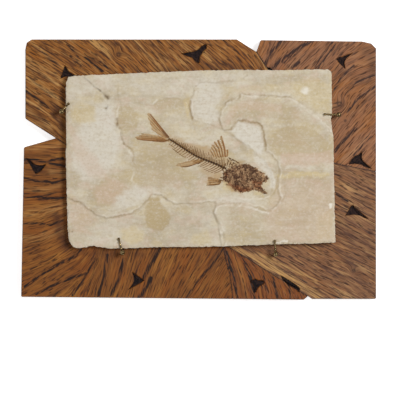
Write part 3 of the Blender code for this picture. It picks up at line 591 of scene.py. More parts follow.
SLAB_LEFT = [
    (-90.8, -55.4), (-93, -52), (-94, -48), (-94.5, -36), (-94.9, -20.5), (-95.6, 7), (-95.2, 28.5),
    (-95.6, 46.5), (-95.5, 62), (-93.8, 66.4)]
SLAB_RIGHT = [
    (98.4, -52.6), (98.1, -32.5), (97.5, -7), (97.1, 22.5), (96, 29), (95.3, 34.5), (96.2, 42), (95.8, 54),
    (95.8, 69), (94.9, 71.1)]
SLAB_BOTTOM = [
    (-90.8, -55.4), (-88, -56.6), (-83, -56.2), (-79, -55.4), (-75.5, -54.9), (-71.5, -56), (-62.5, -57),
    (-45, -56.5), (-28.5, -55.9), (9, -55.6), (32, -54.8), (54.5, -54), (80, -53.4), (98.4, -52.6)]
SLAB_TOP = [
    (-93.8, 66.4), (-89.5, 67.4), (-78, 68), (-64.5, 68.4), (-51, 69.1), (-29, 70), (-6, 71), (12, 71.3),
    (30, 71.7), (52, 71.4), (73, 71.8), (92.5, 72), (94.9, 71.1)]

# The outlines of the flaked beds, mm in plan.
ABOVE_TAN = [
    (105.5, 20), (95.5, 25.5), (91, 31.5), (86, 38), (81, 43), (74.5, 46.5), (69.5, 50), (61.5, 52.5),
    (55.5, 52.5), (45.5, 53), (34.5, 53.5), (30, 55), (29.5, 51), (24, 50.5), (20, 47.5), (16, 42),
    (15, 36), (16.5, 30.5), (18, 28.5), (23, 28.5), (25.5, 32.5), (28.5, 35), (32.5, 35), (37.5, 33.5),
    (41.5, 33.5), (44.5, 31.5), (46.5, 27.5), (47.5, 20.5), (48.5, 13.5), (54.5, 8.5), (57, 5), (58, -0.5),
    (58, -7.5), (57, -14.5), (59, -20.5), (55.5, -26), (50, -30), (43, -28.5), (35.5, -26), (28.5, -24.5),
    (19, -24.5), (12.5, -26), (11, -31), (14, -36.5), (17, -43.5), (18.5, -49), (19.5, -65), (-110, -65),
    (-110, 85), (105.5, 85)]
ABOVE_FISH = [
    (-56, 46), (-49.5, 48), (-41, 47), (-32.5, 46), (-29, 49.5), (-23, 51), (-16.5, 51), (-10, 50),
    (-6, 51.5), (-5.5, 46), (-5, 36.5), (4.5, 33), (11, 31.5), (17, 29), (20.5, 26.5), (24, 23.5), (30, 20),
    (35.5, 17), (38.5, 14), (41.5, 11), (45.5, 8), (49, 4), (51.5, -1), (52.5, -7.5), (53, -14),
    (51.5, -18), (44, -20), (32, -20.5), (17, -20.5), (4.5, -22), (-6, -23), (-17, -22), (-23.5, -20.5),
    (-25.5, -17.5), (-31.5, -15.3), (-35, -16.5), (-42, -13), (-47, -7.5), (-45, -0.5), (-47, 6),
    (-47.5, 12), (-51, 17), (-54.5, 19), (-54.5, 23.5), (-56, 28), (-58.5, 31), (-57.5, 38.5)]
ABOVE_LOW = [
    (-110, -19), (-94, -20.5), (-84.5, -24), (-78.5, -28.5), (-73, -33), (-66.5, -35), (-58.5, -34),
    (-48.5, -31.5), (-43, -28.5), (-38.5, -24), (-33, -17), (-26, -18.5), (-22.5, -22), (-17, -24),
    (-6, -24.5), (4.5, -23.5), (12, -23), (12, -26), (10.5, -31), (13.2, -36.5), (14.5, -42), (16, -49),
    (17.5, -65), (-110, -65)]

# Lines that serve twice: the crack at the upper left, and ledges with dust or iron along them.
CRACK = [(-82, 66), (-77, 61.5), (-71, 56.5), (-67.5, 53.5)]
LEFT_LEDGE = [(-58.5, 37), (-58.5, 30.5), (-56, 28), (-55, 24), (-54, 18.5)]
TOP_LEDGE = [(-2.5, 59.5), (1.5, 62.5), (16, 62.5), (29.5, 64), (35.5, 67.5)]
TAIL_LEDGE = [(-31.5, 46.5), (-27, 51), (-19.5, 51.5), (-10, 49.5)]
CORNER_LEDGE = [(-58, 59.5), (-57.5, 51), (-55.5, 46.5), (-55, 39.5)]
RIGHT_LEDGE = [(84.5, 35), (90.5, 30), (95.5, 24)]

# Small ledges: the line, the step up to its left, and how far the step reaches, mm.
SMALL_LEDGES = [
    ([(-5, 36.5), (-6, 44.5), (-5.5, 51), (-3.5, 53.5), (-3.5, 58.5)], -0.16, 5), (TOP_LEDGE, 0.06, 4),
    (TAIL_LEDGE, 0.07, 4),
    ([(59.5, -8.5), (64, -14.5), (60, -23), (56, -27), (53, -33.5), (55.5, -37)], -0.07, 4),
    (CORNER_LEDGE, 0.06, 4), ([(30, 41), (34, 43.5), (40, 39.5)], 0.06, 2),
    ([(39, 41), (43, 42), (46.5, 40)], 0.06, 2), ([(81, -50), (90, -38), (96, -30)], 0.05, 3)]
# Grooves (negative) and ridges: line, half width and height, mm.
RIDGES = [
    (CRACK, 0.5, -0.3),
    ([(-58.5, 41), (-58.5, 30.5), (-56, 28), (-55, 24), (-54, 18.5), (-50.5, 16.5), (-47, 12.5),
     (-47, 6)], 0.6, -0.22),
    ([(86.5, 36.5), (91, 32), (95.5, 27)], 0.6, 0.22), (RIGHT_LEDGE, 0.5, 0.14),
    ([(17, -20.5), (24, -19.5), (32, -21), (38.5, -20), (48.5, -21.5)], 0.7, 0.16),
    ([(28.5, -26), (34, -25), (40, -28.5), (45.5, -30.5), (50, -31)], 0.7, 0.2),
    ([(34, -24), (40, -26.5), (44, -26), (48.5, -28.5)], 0.6, 0.16),
    ([(54.5, 59), (56.5, 55), (59.5, 52.5)], 0.6, 0.14), ([(66, 50), (78, 42), (90, 33)], 0.7, 0.08)]
STONE_PITS = [((-65.3, 52), 1.1), ((-66.3, 43.8), 0.8), ((-90.7, -44.6), 0.55)]

# Colour on the beds: outline, softness in mm, strength.
STONE_WHITE = [
    ([(72.5, 57), (74.5, 59.4), (77.5, 59.6), (79.8, 57), (78.5, 53.4), (75, 54.4)], 2.4, 1.1),
    ([(25.5, 30), (28.5, 34.5), (37, 32.5), (43.5, 30.5), (45.5, 26.5), (46.5, 17), (45.5, 10), (37, 15.5),
     (30, 20.5), (22, 27)], 2, 0.9),
    ([(38.5, 9), (45.5, 8.5), (50, 4), (53.5, -1.5), (55.5, -8), (54.5, -14.5), (51.5, -13), (51.5, -7.5),
     (48.5, -2.5), (43, 2)], 1.4, 0.8),
    ([(11, -19.5), (30, -21), (48.5, -22.5), (51.5, -27.5), (40.5, -25), (27, -23.5), (13, -24)], 3, 0.5),
    ([(-3, 66), (12, 67), (18, 56), (14.4, 46), (14, 34), (4.5, 33), (-3.5, 37), (-5, 50)], 7, 0.75),
    ([(-73, 47), (-62.5, 50), (-59.5, 37), (-58, 28.5), (-56, 21.5), (-58, 7), (-71, -7.5), (-82.5, -8),
     (-89.5, 1), (-91, 21.5), (-82.5, 34.5)], 7, 0.8),
    ([(-57.5, -16), (-46, -12), (-35.5, -14.5), (-37, -21), (-43, -26), (-55, -29),
     (-62.5, -25.5)], 3, 0.7),
    ([(-93, 67), (20, 71), (56, 71), (44, 63), (0, 61), (-10, 53), (-28, 53), (-60, 54), (-72, 58),
     (-93, 50)], 6, 0.35),
    ([(-24, -29), (-12, -26), (10, -28), (14, -40), (15, -53), (-24, -53), (-20, -42)], 6, 0.08),
    ([(-70, -36), (-45, -34), (-40, -45), (-60, -54), (-80, -50)], 5, 0.3),
    ([(58, 9), (72, 10), (88, 8), (88, 5.5), (72, 6), (58, 5)], 2.5, 0.55),
    ([(62, 2.5), (84, 3), (84, 1.5), (62, 1)], 1.6, 0.45),
    ([(96, -8), (98, -8), (98, -50), (96.5, -50)], 3, 0.4),
    ([(-1, 19), (12, 27), (28, 16), (38, 8), (34, 5), (24, 12), (22, 20), (14, 24), (6, 20)], 3, 0.3)]
STONE_TAN = [
    ([(52.5, 26), (58, 29), (64, 32), (76, 31.5), (86, 26), (95.5, 18.5), (97, 14.5), (52.5, 15)], 2, 0.6),
    ([(52.5, 26), (58, 29), (64, 31), (76, 30.5), (86, 25), (95.5, 17.5), (97, 9), (52.5, 9)], 7, 0.55),
    ([(-38, -27), (-35, -20.5), (-28.5, -19.5), (-27, -24), (-23.5, -28), (-20, -34), (-22, -39.5),
     (-26, -43.5), (-31.5, -43), (-36, -41), (-38, -36)], 2.2, 1),
    ([(-60, 44.5), (-49.5, 46), (-43, 40), (-43.5, 30), (-52.5, 26.5), (-59.5, 31.5)], 2.5, 0.6),
    ([(-33, 46), (-28, 51), (-19, 52), (-9, 50), (-5.5, 46), (-6, 38.5), (-17.5, 41.5),
     (-26.5, 40)], 2, 0.4),
    ([(-75.5, -14.5), (-68, -6), (-55, -0.5), (-45, 3.5), (-38, -1.5), (-35, -12), (-51, -12), (-59.5, -22),
     (-68, -27.5), (-74.5, -24)], 4, 0.5),
    ([(-29, 21.5), (-19, 17), (-9, 8.5), (-10.5, -4.5), (-28, -12), (-42, -7.5), (-45, 7),
     (-41, 15.5)], 3, 0.55),
    ([(-16.5, -1.5), (-6, -0.5), (0.5, -4.5), (-6, -9), (-15, -7.5)], 2.5, 0.5),
    ([(59, -4.5), (73, -3), (92, -3), (91, -6.4), (73, -7), (60, -7.5)], 3, 0.65),
    ([(19, -26), (60, -22), (96, -10), (98, -53), (20, -55)], 6, 0.2),
    ([(20, 30), (26, 46), (44, 51), (66, 46), (90, 28), (60, 33), (48, 38), (30, 38), (22, 30)], 3, 0.35)]
STONE_YELLOW = [
    ([(-91, 46), (-82.5, 48), (-74, 44.5), (-74, 35), (-85.5, 32), (-90.5, 35.5)], 4, 0.7),
    ([(-55, -43), (-46.5, -40.5), (-40, -44), (-40, -51.5), (-49.5, -53), (-55, -49)], 3, 0.7),
    ([(-4, -46.5), (5.5, -44), (9.5, -50.5), (1, -54.5), (-6, -52)], 3, 0.6),
    ([(-10, 50), (-6.2, 52), (-6.4, 38), (-9, 38)], 1.6, 0.8),
    ([(66, 62), (80, 66), (94, 62), (94, 40), (84, 44), (70, 52)], 5, 0.6),
    ([(15, 48), (25, 55), (60, 56), (88, 40), (94, 40), (94, 60), (66, 62), (20, 58)], 4, 0.35),
    ([(18, -14), (26, -16), (23, -9), (18, -8)], 1.2, 0.7),
    ([(40, -14.5), (48, -18), (47, -21), (40, -18)], 1.2, 0.8),
    ([(57, -3), (75, -1.5), (93, -2), (93, -5), (75, -5.5), (58, -6)], 2, 0.9),
    ([(86, -34), (96, -28), (97, -44), (92, -52), (84, -52)], 4, 0.45)]
STONE_ROSY = [
    ([(58, -8), (96, -8), (97, -30), (80, -50), (50, -52), (46, -36)], 9, 0.4),
    ([(-90, 28), (-84, 20), (-66, 0), (-62, -8), (-80, -4), (-92, 14)], 6, 0.5),
    ([(60, 12), (96, 13), (97, 4), (60, 3)], 3, 0.7),
    ([(18, 30), (30, 42), (44, 42), (60, 40), (60, 46), (36, 50), (22, 44)], 3, 0.5),
    ([(-92, -20), (-80, -26), (-72, -36), (-86, -46), (-93, -36)], 5, 0.5),
    ([(-75.5, -14.5), (-60, -6), (-52, -12), (-60, -24), (-72, -25)], 4, 0.6),
    ([(70, -30), (96, -20), (98, -53), (60, -52)], 6, 0.4)]
STONE_BRIGHT_SPOTS = [
    ([(73.4, 57), (75.6, 58.2), (78, 59), (79.2, 56.6), (77.8, 54), (75.4, 54.8)], 2.2, 0.8),
    ([(93.6, -25.2), (96.2, -25.8), (96.4, -28.4), (94, -28.2)], 0.8, 0.9),
    ([(55.7, -51), (64, -51.4), (64, -52.6), (55.7, -52.6)], 0.6, 0.7)]
# Thin marks in the stone: dust and iron along ledges and cracks, and two wide faint ones.
STONE_DIRT = [
    (CRACK, 0.5, 0.7), ([(-68.5, 54.5), (-65.2, 51.6)], 1.0, 0.8), ([(-18, -40), (8, -40)], 11, 0.13),
    ([(-38, 5), (-20, 2)], 11, 0.1), ([(-70.5, 50.8), (-68.5, 50)], 0.8, 0.3),
    ([(-65.6, 45.4), (-66.8, 42.4)], 0.8, 0.55), (LEFT_LEDGE, 0.6, 0.55)]
STONE_IRON = [
    (CORNER_LEDGE, 0.6, 0.3), (LEFT_LEDGE, 0.9, 0.9),
    ([(-54, 18.5), (-50.5, 16.5), (-47, 12.5), (-47, 6)], 0.8, 0.85),
    ([(-3.5, 58.5), (-3.5, 53.5), (-5.5, 51)], 0.6, 0.4),
    ([(-5.8, 49), (-6.4, 44.5), (-5, 36.5)], 0.8, 1.1), ([(4, 65), (0.5, 63), (-3.5, 58.5)], 0.5, 0.3),
    (TOP_LEDGE, 0.6, 0.45), (TAIL_LEDGE, 0.7, 0.35), ([(-5, 35), (4.5, 33), (17, 29)], 0.7, 0.3),
    ([(20.5, 28), (25, 23.5), (30, 20), (35.5, 17)], 0.8, 0.55),
    ([(59.5, -8.5), (64, -14.5), (60, -23), (56, -27)], 0.8, 0.35),
    ([(30, 51), (29.5, 55), (34.5, 53.5), (45.5, 53), (55.5, 52.5), (61.5, 52.5), (69.5, 50)], 0.6, 0.75),
    (ABOVE_TAN[12:21], 0.7, 0.8), (ABOVE_TAN[20:29], 0.75, 1.0),
    ([(48.5, 13.5), (54.5, 8.5), (57, 5), (58, -0.5), (57.5, -3), (56, -12.5), (54, -17)], 0.8, 0.55),
    ([(54, -17), (50.5, -20.5), (44, -22)], 0.6, 0.3), (ABOVE_LOW[1:13], 0.8, 0.7),
    ([(-38, -27), (-38, -36), (-36, -41), (-31.5, -43.2), (-26, -43.2), (-22, -39.5),
     (-20, -34)], 0.6, 0.4),
    ([(13.5, -36.5), (14.5, -42), (16, -49)], 0.6, 0.4), (RIGHT_LEDGE, 0.6, 0.4)]
# The soft brown film that the fish's body left between its bones: back and belly.
BACK_FILM = [
    (-18.1, 23.2), (-15.4, 22.5), (-11.5, 20.8), (-6.8, 18.1), (-2.8, 18.3), (1.2, 17.6), (5.9, 15.8),
    (8.5, 14.1), (17.2, 8.8), (20.5, 8.2), (27.2, 5), (21.2, 1.2), (10.5, 4.8), (3.9, 7.5), (-4.1, 11.5),
    (-12.1, 16.8), (-18.1, 20.8)]
BELLY_FILM = [
    (-18.1, 20.8), (-12.1, 16.8), (-4.1, 11.5), (3.9, 7.5), (10.5, 4.8), (21.2, 1.2), (17.2, -3.2),
    (16, -7), (9, -6), (3.9, -3.2), (0.5, -0.5), (1.2, 4.2), (-6.8, 6.8), (-10.8, 9.2), (-16.1, 12.8),
    (-20.1, 15.5), (-22, 19)]
FILMS = [
    (BACK_FILM, 3, 0.5), (BELLY_FILM, 3, 0.4),
    ([(-12, 20), (-6, 19), (0, 18.2), (6, 16), (9.5, 12.4), (4, 12.8), (-2, 14.6), (-8, 17)], 3, 0.55),
    ([(12, 0.5), (17, -1.5), (18, -7), (14, -7.4), (8, -4.5)], 4, 0.6),
    ([(5.6, -11.4), (6.2, -5.4), (12, -5.6), (15, -9), (12, -11.6)], 2, 0.4),
    ([(16, -8.5), (19, -8.5), (21.5, -13), (26, -16.6), (31, -18.2), (28, -14), (22, -9)], 2, 0.6),
    ([(20, 8), (28, 5), (33, 5.6), (30, 3), (22, 2)], 2, 0.6),
    ([(-22, 24.5), (-17, 22.5), (-18, 19.5), (-24, 18.5)], 2, 0.5)]

# Stone colours: the ground, chalky and bright places with the painted highlight on ledges and ridges,
# shade, stains, dust and body film.
STONE_CREAM = "#d6cbb5"
STONE_PALE = "#ddd6c8"
STONE_CHALK_AND_HIGHLIGHT = "#efe9dc"
STONE_SHADE = "#bdae94"
STONE_TAN_COLOUR = "#bba67f"
STONE_YELLOW_COLOUR = "#d2bf94"
STONE_ROSY_COLOUR = "#d0b59e"
STONE_DIRT_COLOUR = "#807058"
STONE_IRON_COLOUR = "#94784c"
FILM_COLOUR = "#b28c58"


def rough(points, cell, octaves, seed):
    """Fractal noise between about -1 and 1 with cells this many mm wide."""
    lift = seed * 17.3
    return np.array([noise.fractal((x / cell, y / cell, lift), 0.6, 2.0, octaves) for x, y in points])


def crumbled(points):
    """Points shifted a little, so that smooth lines run like broken ledges."""
    return (points + np.column_stack([rough(points, 4.5, 3, 1), rough(points, 4.5, 3, 2)]) * 0.7
            + np.column_stack([rough(points, 1.4, 2, 15), rough(points, 1.4, 2, 16)]) * 0.3)


def stone_height(points):
    """The height of the split face, mm, without its worn edges."""
    warped = crumbled(points)
    height = np.full(len(points), TAN_LEVEL)
    for outline, level in ((ABOVE_TAN, PALE_LEVEL), (ABOVE_FISH, FISH_LEVEL), (ABOVE_LOW, LOW_LEVEL)):
        share = eased(inner_distance(warped, outline) / LEDGE_SPREAD + 0.5)
        height = height + (np.minimum(height, level) - height) * share
    for line, step, reach in SMALL_LEDGES:
        side = side_distance(warped, line)
        away = distance_to(warped, line)
        height = height + step * np.tanh(side / STEP_SPREAD) * np.exp(-away / reach)
    for line, half_width, rise in RIDGES:
        height = height + rise * np.exp(-(distance_to(warped, line) / half_width) ** 2)
    for (x, y), radius in STONE_PITS:
        away = np.hypot(points[:, 0] - x, points[:, 1] - y)
        height = height - PIT_DEPTH * np.exp(-(away / radius) ** 2)
    laminae = rough(points, LAMINA_CELL, 4, 3) * LAMINAE
    terrace = np.floor(laminae) + eased((laminae - np.floor(laminae) - 0.42) / 0.16)
    return height + LAMINA_RISE * terrace + 0.06 * rough(points, 9, 3, 4) + 0.03 * rough(points, 1.6, 2, 5)


def along_line(line, shares):
    """Points at shares of a line's length."""
    line = np.array(line, float)
    lengths = np.hypot(*np.diff(line, axis=0).T)
    marks = np.concatenate([[0], np.cumsum(lengths)]) / lengths.sum()
    return np.column_stack([np.interp(shares, marks, line[:, 0]), np.interp(shares, marks, line[:, 1])])


def painted_areas(points, areas):
    """Soft-edged patches; the strongest counts."""
    value = np.zeros(len(points))
    for outline, softness, strength in areas:
        value = np.maximum(value, strength * eased(inner_distance(points, outline) / softness + 0.5))
    return value


def limestone():
    """Split limestone: a chalky face, mottled by iron, with grains that catch light.  Real
    grains are finer than can be seen, and are drawn 1.5 mm wide to show."""
    material, shader = new_material("split_limestone")
    where = add_node(material, "TexCoord", output="Object")
    where = add_node(material, "VectorMath", where, 1 / MM, operation="SCALE")
    cloud = add_node(material, "TexNoise", where, 4, 0.6, cell=(22, 15, 20), seed=1.0)
    mottle = add_node(material, "TexNoise", where, 4, 0.65, cell=(3.2, 2.6, 3.0), seed=4.0)
    speck = add_node(material, "TexNoise", where, 2, 0.6, cell=(1.5, 1.5, 1.5), seed=7.0)
    hue = add_node(material, "TexNoise", where, 3, 0.6, cell=(13, 8, 8), seed=9.0)
    laminae = add_node(material, "TexNoise", where, 4, 0.65, cell=(16, 2.4, 6), seed=14.0)
    clouded = add_node(material, "MapRange", cloud, 0.38, 0.62)
    stone = add_node(material, "Mix", clouded, STONE_SHADE, STONE_CREAM, data_type="RGBA")
    for value, low, high, strength, colour in (
            (hue, 0.5, 0.66, 0.5, STONE_YELLOW_COLOUR), (hue, 0.48, 0.34, 0.5, STONE_ROSY_COLOUR)):
        share = add_node(material, "MapRange", value, low, high, 0.0, strength)
        stone = add_node(material, "Mix", share, stone, colour, data_type="RGBA")
    uneven = add_node(material, "Math", mottle, 0.9, 0.5, operation="MULTIPLY_ADD")
    for name, colour in (("white", STONE_PALE), ("tan", STONE_TAN_COLOUR), ("yellow", STONE_YELLOW_COLOUR),
                         ("rosy", STONE_ROSY_COLOUR)):
        painted = add_node(material, "Attribute", attribute_name=name, output="Fac")
        share = add_node(material, "Math", painted, uneven, operation="MULTIPLY", use_clamp=True)
        stone = add_node(material, "Mix", share, stone, colour, data_type="RGBA")
    for value, low, high, strength, colour in (
            (mottle, 0.52, 0.7, 0.4, STONE_PALE), (mottle, 0.47, 0.32, 0.32, STONE_SHADE),
            (laminae, 0.54, 0.68, 0.25, STONE_TAN_COLOUR), (laminae, 0.46, 0.32, 0.25, STONE_PALE),
            (speck, 0.55, 0.7, 0.35, STONE_TAN_COLOUR), (speck, 0.43, 0.3, 0.35, STONE_PALE)):
        share = add_node(material, "MapRange", value, low, high, 0.0, strength)
        stone = add_node(material, "Mix", share, stone, colour, data_type="RGBA")
    side = add_node(material, "Attribute", attribute_name="side", output="Fac")
    beds = add_node(material, "TexNoise", where, 4, 0.6, cell=(26, 26, 0.9), seed=21.0)
    for low, high, colour in ((0.5, 0.62, STONE_TAN_COLOUR), (0.46, 0.36, STONE_PALE)):
        share = add_node(material, "MapRange", beds, low, high, 0.0, 0.7)
        share = add_node(material, "Math", share, side, operation="MULTIPLY", use_clamp=True)
        stone = add_node(material, "Mix", share, stone, colour, data_type="RGBA")
    # rim holds bright chalky spots, and a painted highlight along the upper edges of the ledges and on the
    # ridges.
    for name, colour in (("rim", STONE_CHALK_AND_HIGHLIGHT), ("film", FILM_COLOUR), ("iron", STONE_IRON_COLOUR),
                         ("dirt", STONE_DIRT_COLOUR)):
        painted = add_node(material, "Attribute", attribute_name=name, output="Fac")
        share = add_node(material, "Math", painted, uneven, operation="MULTIPLY", use_clamp=True)
        stone = add_node(material, "Mix", share, stone, colour, data_type="RGBA")
    shader.inputs["Roughness"].default_value = 0.93
    shader.inputs["IOR"].default_value = 1.5
    shader.inputs["Specular IOR Level"].default_value = 0.25
    grains = add_node(material, "Math", speck, 0.5, mottle, operation="MULTIPLY_ADD")
    bump = add_node(material, "Bump", 0.5, 0.0003, None, grains)
    for name, output in (("Base Color", stone), ("Normal", bump)):
        material.node_tree.links.new(output, shader.inputs[name])
    return material


slab_bm = bmesh.new()
bmesh.ops.create_grid(slab_bm, x_segments=SLAB_CELLS[0], y_segments=SLAB_CELLS[1], size=0.5)
squares = np.array([vert.co.xy for vert in slab_bm.verts]) + 0.5
s, t = squares[:, :1], squares[:, 1:]
corners = [np.array(corner) for corner in (SLAB_BOTTOM[0], SLAB_BOTTOM[-1], SLAB_TOP[0], SLAB_TOP[-1])]
spread = ((1 - t) * along_line(SLAB_BOTTOM, s[:, 0]) + t * along_line(SLAB_TOP, s[:, 0])
          + (1 - s) * along_line(SLAB_LEFT, t[:, 0]) + s * along_line(SLAB_RIGHT, t[:, 0])
          - (1 - s) * (1 - t) * corners[0] - s * (1 - t) * corners[1]
          - (1 - s) * t * corners[2] - s * t * corners[3])
slab_outline = SLAB_BOTTOM + SLAB_RIGHT[1:] + SLAB_TOP[-2::-1] + SLAB_LEFT[-2:0:-1]
to_edge = distance_to(spread, slab_outline, closed=True)
# Hands and saw have worn the rim: it rounds off and is chipped in places.
chips = np.clip(rough(spread, 3.2, 3, 6), 0, 1)
wander = np.column_stack([rough(spread, 2.2, 3, 7), rough(spread, 2.2, 3, 8)]) * 0.35
rim = np.exp(-to_edge / 0.8)
spread = spread * (1 - 0.004 * rim[:, None]) + wander * np.exp(-to_edge / 2)[:, None]
worn_away = RIM_WEAR[0] + RIM_WEAR[1] * chips
worn_in = RIM_REACH[0] + RIM_REACH[1] * chips
face_height = stone_height(spread) - worn_away * np.exp(-(to_edge / worn_in) ** 2)
for vert, (x, y), z in zip(slab_bm.verts, spread, face_height):
    vert.co = Vector((x, y, z)) * MM
rim_edges = [edge for edge in slab_bm.edges if edge.is_boundary]
for row in range(1, SIDE_ROWS + 1):
    grown = bmesh.ops.extrude_edge_only(slab_bm, edges=rim_edges)["geom"]
    rim_edges = [item for item in grown if isinstance(item, bmesh.types.BMEdge) and item.is_boundary]
    row_verts = [item for item in grown if isinstance(item, bmesh.types.BMVert)]
    share = row / SIDE_ROWS
    left = SIDE_ROWS - row + 1
    for vert in row_verts:
        x, y, z = vert.co / MM
        out = Vector(((x / HALF_SIZE[0]) ** SQUARENESS, (y / HALF_SIZE[1]) ** SQUARENESS, 0)).normalized()
        step = noise.fractal((x / 5, y / 5, row * 3.7), 0.7, 2.0, 3) * 0.28 - 0.05
        lowered = z - (z - SLAB_BASE) / left
        vert.co = Vector((x + out.x * step, y + out.y * step, lowered)) * MM
bmesh.ops.contextual_create(slab_bm, geom=rim_edges)
bmesh.ops.recalc_face_normals(slab_bm, faces=slab_bm.faces[:])
for face in slab_bm.faces:
    face.smooth = True
slab = add_piece("slab_limestone", slab_bm, limestone(), "limestone", "slab")
flat = vertex_places(slab.data)[:, :2]
smudged = flat + np.column_stack([rough(flat, 6, 3, 11), rough(flat, 6, 3, 12)]) * 1.6
pencilled = crumbled(flat)
to_rim = distance_to(flat, slab_outline, closed=True)
paint(slab.data, "tan", painted_areas(0.35 * smudged + 0.65 * flat, STONE_TAN))
paint(slab.data, "yellow", painted_areas(smudged, STONE_YELLOW))
paint(slab.data, "rosy", painted_areas(smudged, STONE_ROSY))
paint(slab.data, "white", painted_areas(0.5 * smudged + 0.5 * flat, STONE_WHITE))
patchy = np.clip(0.85 + 1.1 * rough(flat, 6, 3, 13), 0.15, 1.3)
marks = painted_lines(pencilled, STONE_DIRT) * patchy
# Patches where the painted highlight along the ledges shows.
patchy_highlight = np.clip(0.35 + 1.6 * rough(flat, 8, 3, 17), 0, 1)
bright = painted_areas(smudged, STONE_BRIGHT_SPOTS)
iron = np.clip(painted_lines(pencilled, STONE_IRON) * patchy * 0.62, 0, 0.7)
# Along each bed's outline: iron at the foot of the ledge, and a painted highlight along its upper edge.
for outline, stain in ((ABOVE_TAN, 0.28), (ABOVE_FISH, 0.12), (ABOVE_LOW, 0.32)):
    down = inner_distance(pencilled, outline)
    iron = np.maximum(iron, stain * np.exp(-((down - 0.2) / 0.6) ** 2) * patchy)
    bright = np.maximum(bright, 0.5 * np.exp(-((down + 0.9) / 0.7) ** 2) * patchy_highlight)
# Raised ridges get a painted highlight.
for line, half_width, rise in RIDGES:
    if rise > 0:
        ridge = np.exp(-(distance_to(pencilled, line) / half_width) ** 2)
        bright = np.maximum(bright, 3.2 * rise * ridge * np.clip(patchy, 0.2, 1))
for (x, y), radius in STONE_PITS:
    marks = np.maximum(marks, np.exp(-(np.hypot(flat[:, 0] - x, flat[:, 1] - y) / radius) ** 2))
paint(slab.data, "dirt", marks)
paint(slab.data, "iron", iron)
paint(slab.data, "rim", bright)
paint(slab.data, "film", painted_areas(smudged, FILMS))
below = stone_height(flat) - 1.6 - vertex_places(slab.data)[:, 2]
paint(slab.data, "side", np.clip(below, 0, 1) * (to_rim < 1.5))


# ------------------------------------------------------------------- the fish
# A herring 10 cm long, pressed flat on its side.  Its bones are turned to dark brown
# phosphate and lie half sunk in the stone: a string of vertebrae with fine spines and ribs,
# fins of split rays, and a crushed head.
SPINE = [
    (-21.5, 21.9), (-20.9, 21.6), (-16.3, 18.8), (-10.5, 15), (-5.7, 12), (-0.4, 8.9), (3.7, 7.3),
    (8.9, 5.4), (13.2, 3.6), (16.8, 1.9), (19.8, 0.7)]
VERTEBRAE = 24
VERTEBRA_RADIUS = (0.6, 1.0)       # mm, at the tail and at the head
# Along the spine: a bone's length, its lean in degrees and how far it curls back; first
# the upper spines, then the lower spines, which are ribs towards the head.
UPPER_SPINES = [
    (0, 1.6, 122, 6), (0.15, 3.8, 118, 6), (0.35, 6.4, 114, 6), (0.5, 7.6, 110, 6), (0.62, 7.4, 106, 6),
    (0.72, 6.6, 104, 6), (0.8, 6.2, 103, 6), (0.88, 6.4, 101, 6), (1, 7.4, 97, 6)]
LOWER_SPINES = [
    (0, 1.8, 234, 10), (0.12, 3.8, 228, 10), (0.27, 5.6, 220, 8), (0.4, 5.8, 217, 8), (0.5, 5.4, 217, 8),
    (0.6, 6.4, 217, 14), (0.7, 8, 217, 20), (0.8, 9.4, 216, 22), (0.9, 10, 216, 22), (1, 8.4, 216, 22)]
# A vertebra's stations along it, each with a share of its radius and how dark it is: dark
# on its two rims and browner at its waist.
VERTEBRA_STATIONS = [
    (0.03, 0.8, 0.9), (0.14, 1, 1), (0.36, 0.5, 0.35), (0.64, 0.5, 0.35), (0.86, 1, 1), (0.97, 0.8, 0.9)]
VERTEBRA_SIDES = 10
SPINE_RADIUS = (0.36, 0.44)        # mm, of a spine or rib at its root
SPINE_STATIONS = 6
SPINE_TONE = 0.42                  # how worn and pale the spines are
SNAPPED = 0.25                     # share of the spines that are broken
# The lower edge of the tail's flesh, and the stubs that carried the anal fin, mm.
TAIL_EDGES = [
    ([(-19, 15.2), (-16, 13), (-13.4, 11)], 0.26), ([(-13.6, 11.2), (-11.4, 9.4), (-9, 8.2)], 0.2),
    ([(-21.6, 18.4), (-19.4, 17), (-17, 15.2)], 0.2)]
# Loose bones behind the head: two ends and a radius, mm.
NAPE_BONES = [
    ((21.4, 8.6), (23.4, 7.4), 0.42), ((23.9, 7.3), (26.6, 5.9), 0.46), ((22.2, 7.1), (24.4, 6.3), 0.3),
    ((26.2, 6.4), (28.2, 5), 0.34), ((23.4, 5.8), (21.8, 2.6), 0.34), ((25.4, 5.4), (24.2, 3.2), 0.4),
    ((21.4, 6.6), (20.2, 2.4), 0.36), ((27.4, 5.2), (29.4, 4.4), 0.4), ((20.4, 7.6), (22, 5.4), 0.24),
    ((17.6, 3.4), (16.8, 0.2), 0.34), ((19.6, 4.6), (18.4, 1.4), 0.36), ((22.6, 4.4), (24.6, 2.4), 0.36),
    ((16.6, 0.4), (18.4, -1.8), 0.4), ((25.2, 4.4), (27.6, 3.4), 0.3), ((15.4, -5.6), (18.2, -6.4), 0.4),
    ((14.8, -7.2), (17.8, -8.4), 0.36)]
# Mineral bone in its pits, in its body and where it is worn; rust beside it.
BONE_DARK = "#3b2618"
BONE_BROWN = "#74542f"
BONE_TAN = "#a88355"
RUST = "#8f4e26"
luck = random.Random(11)


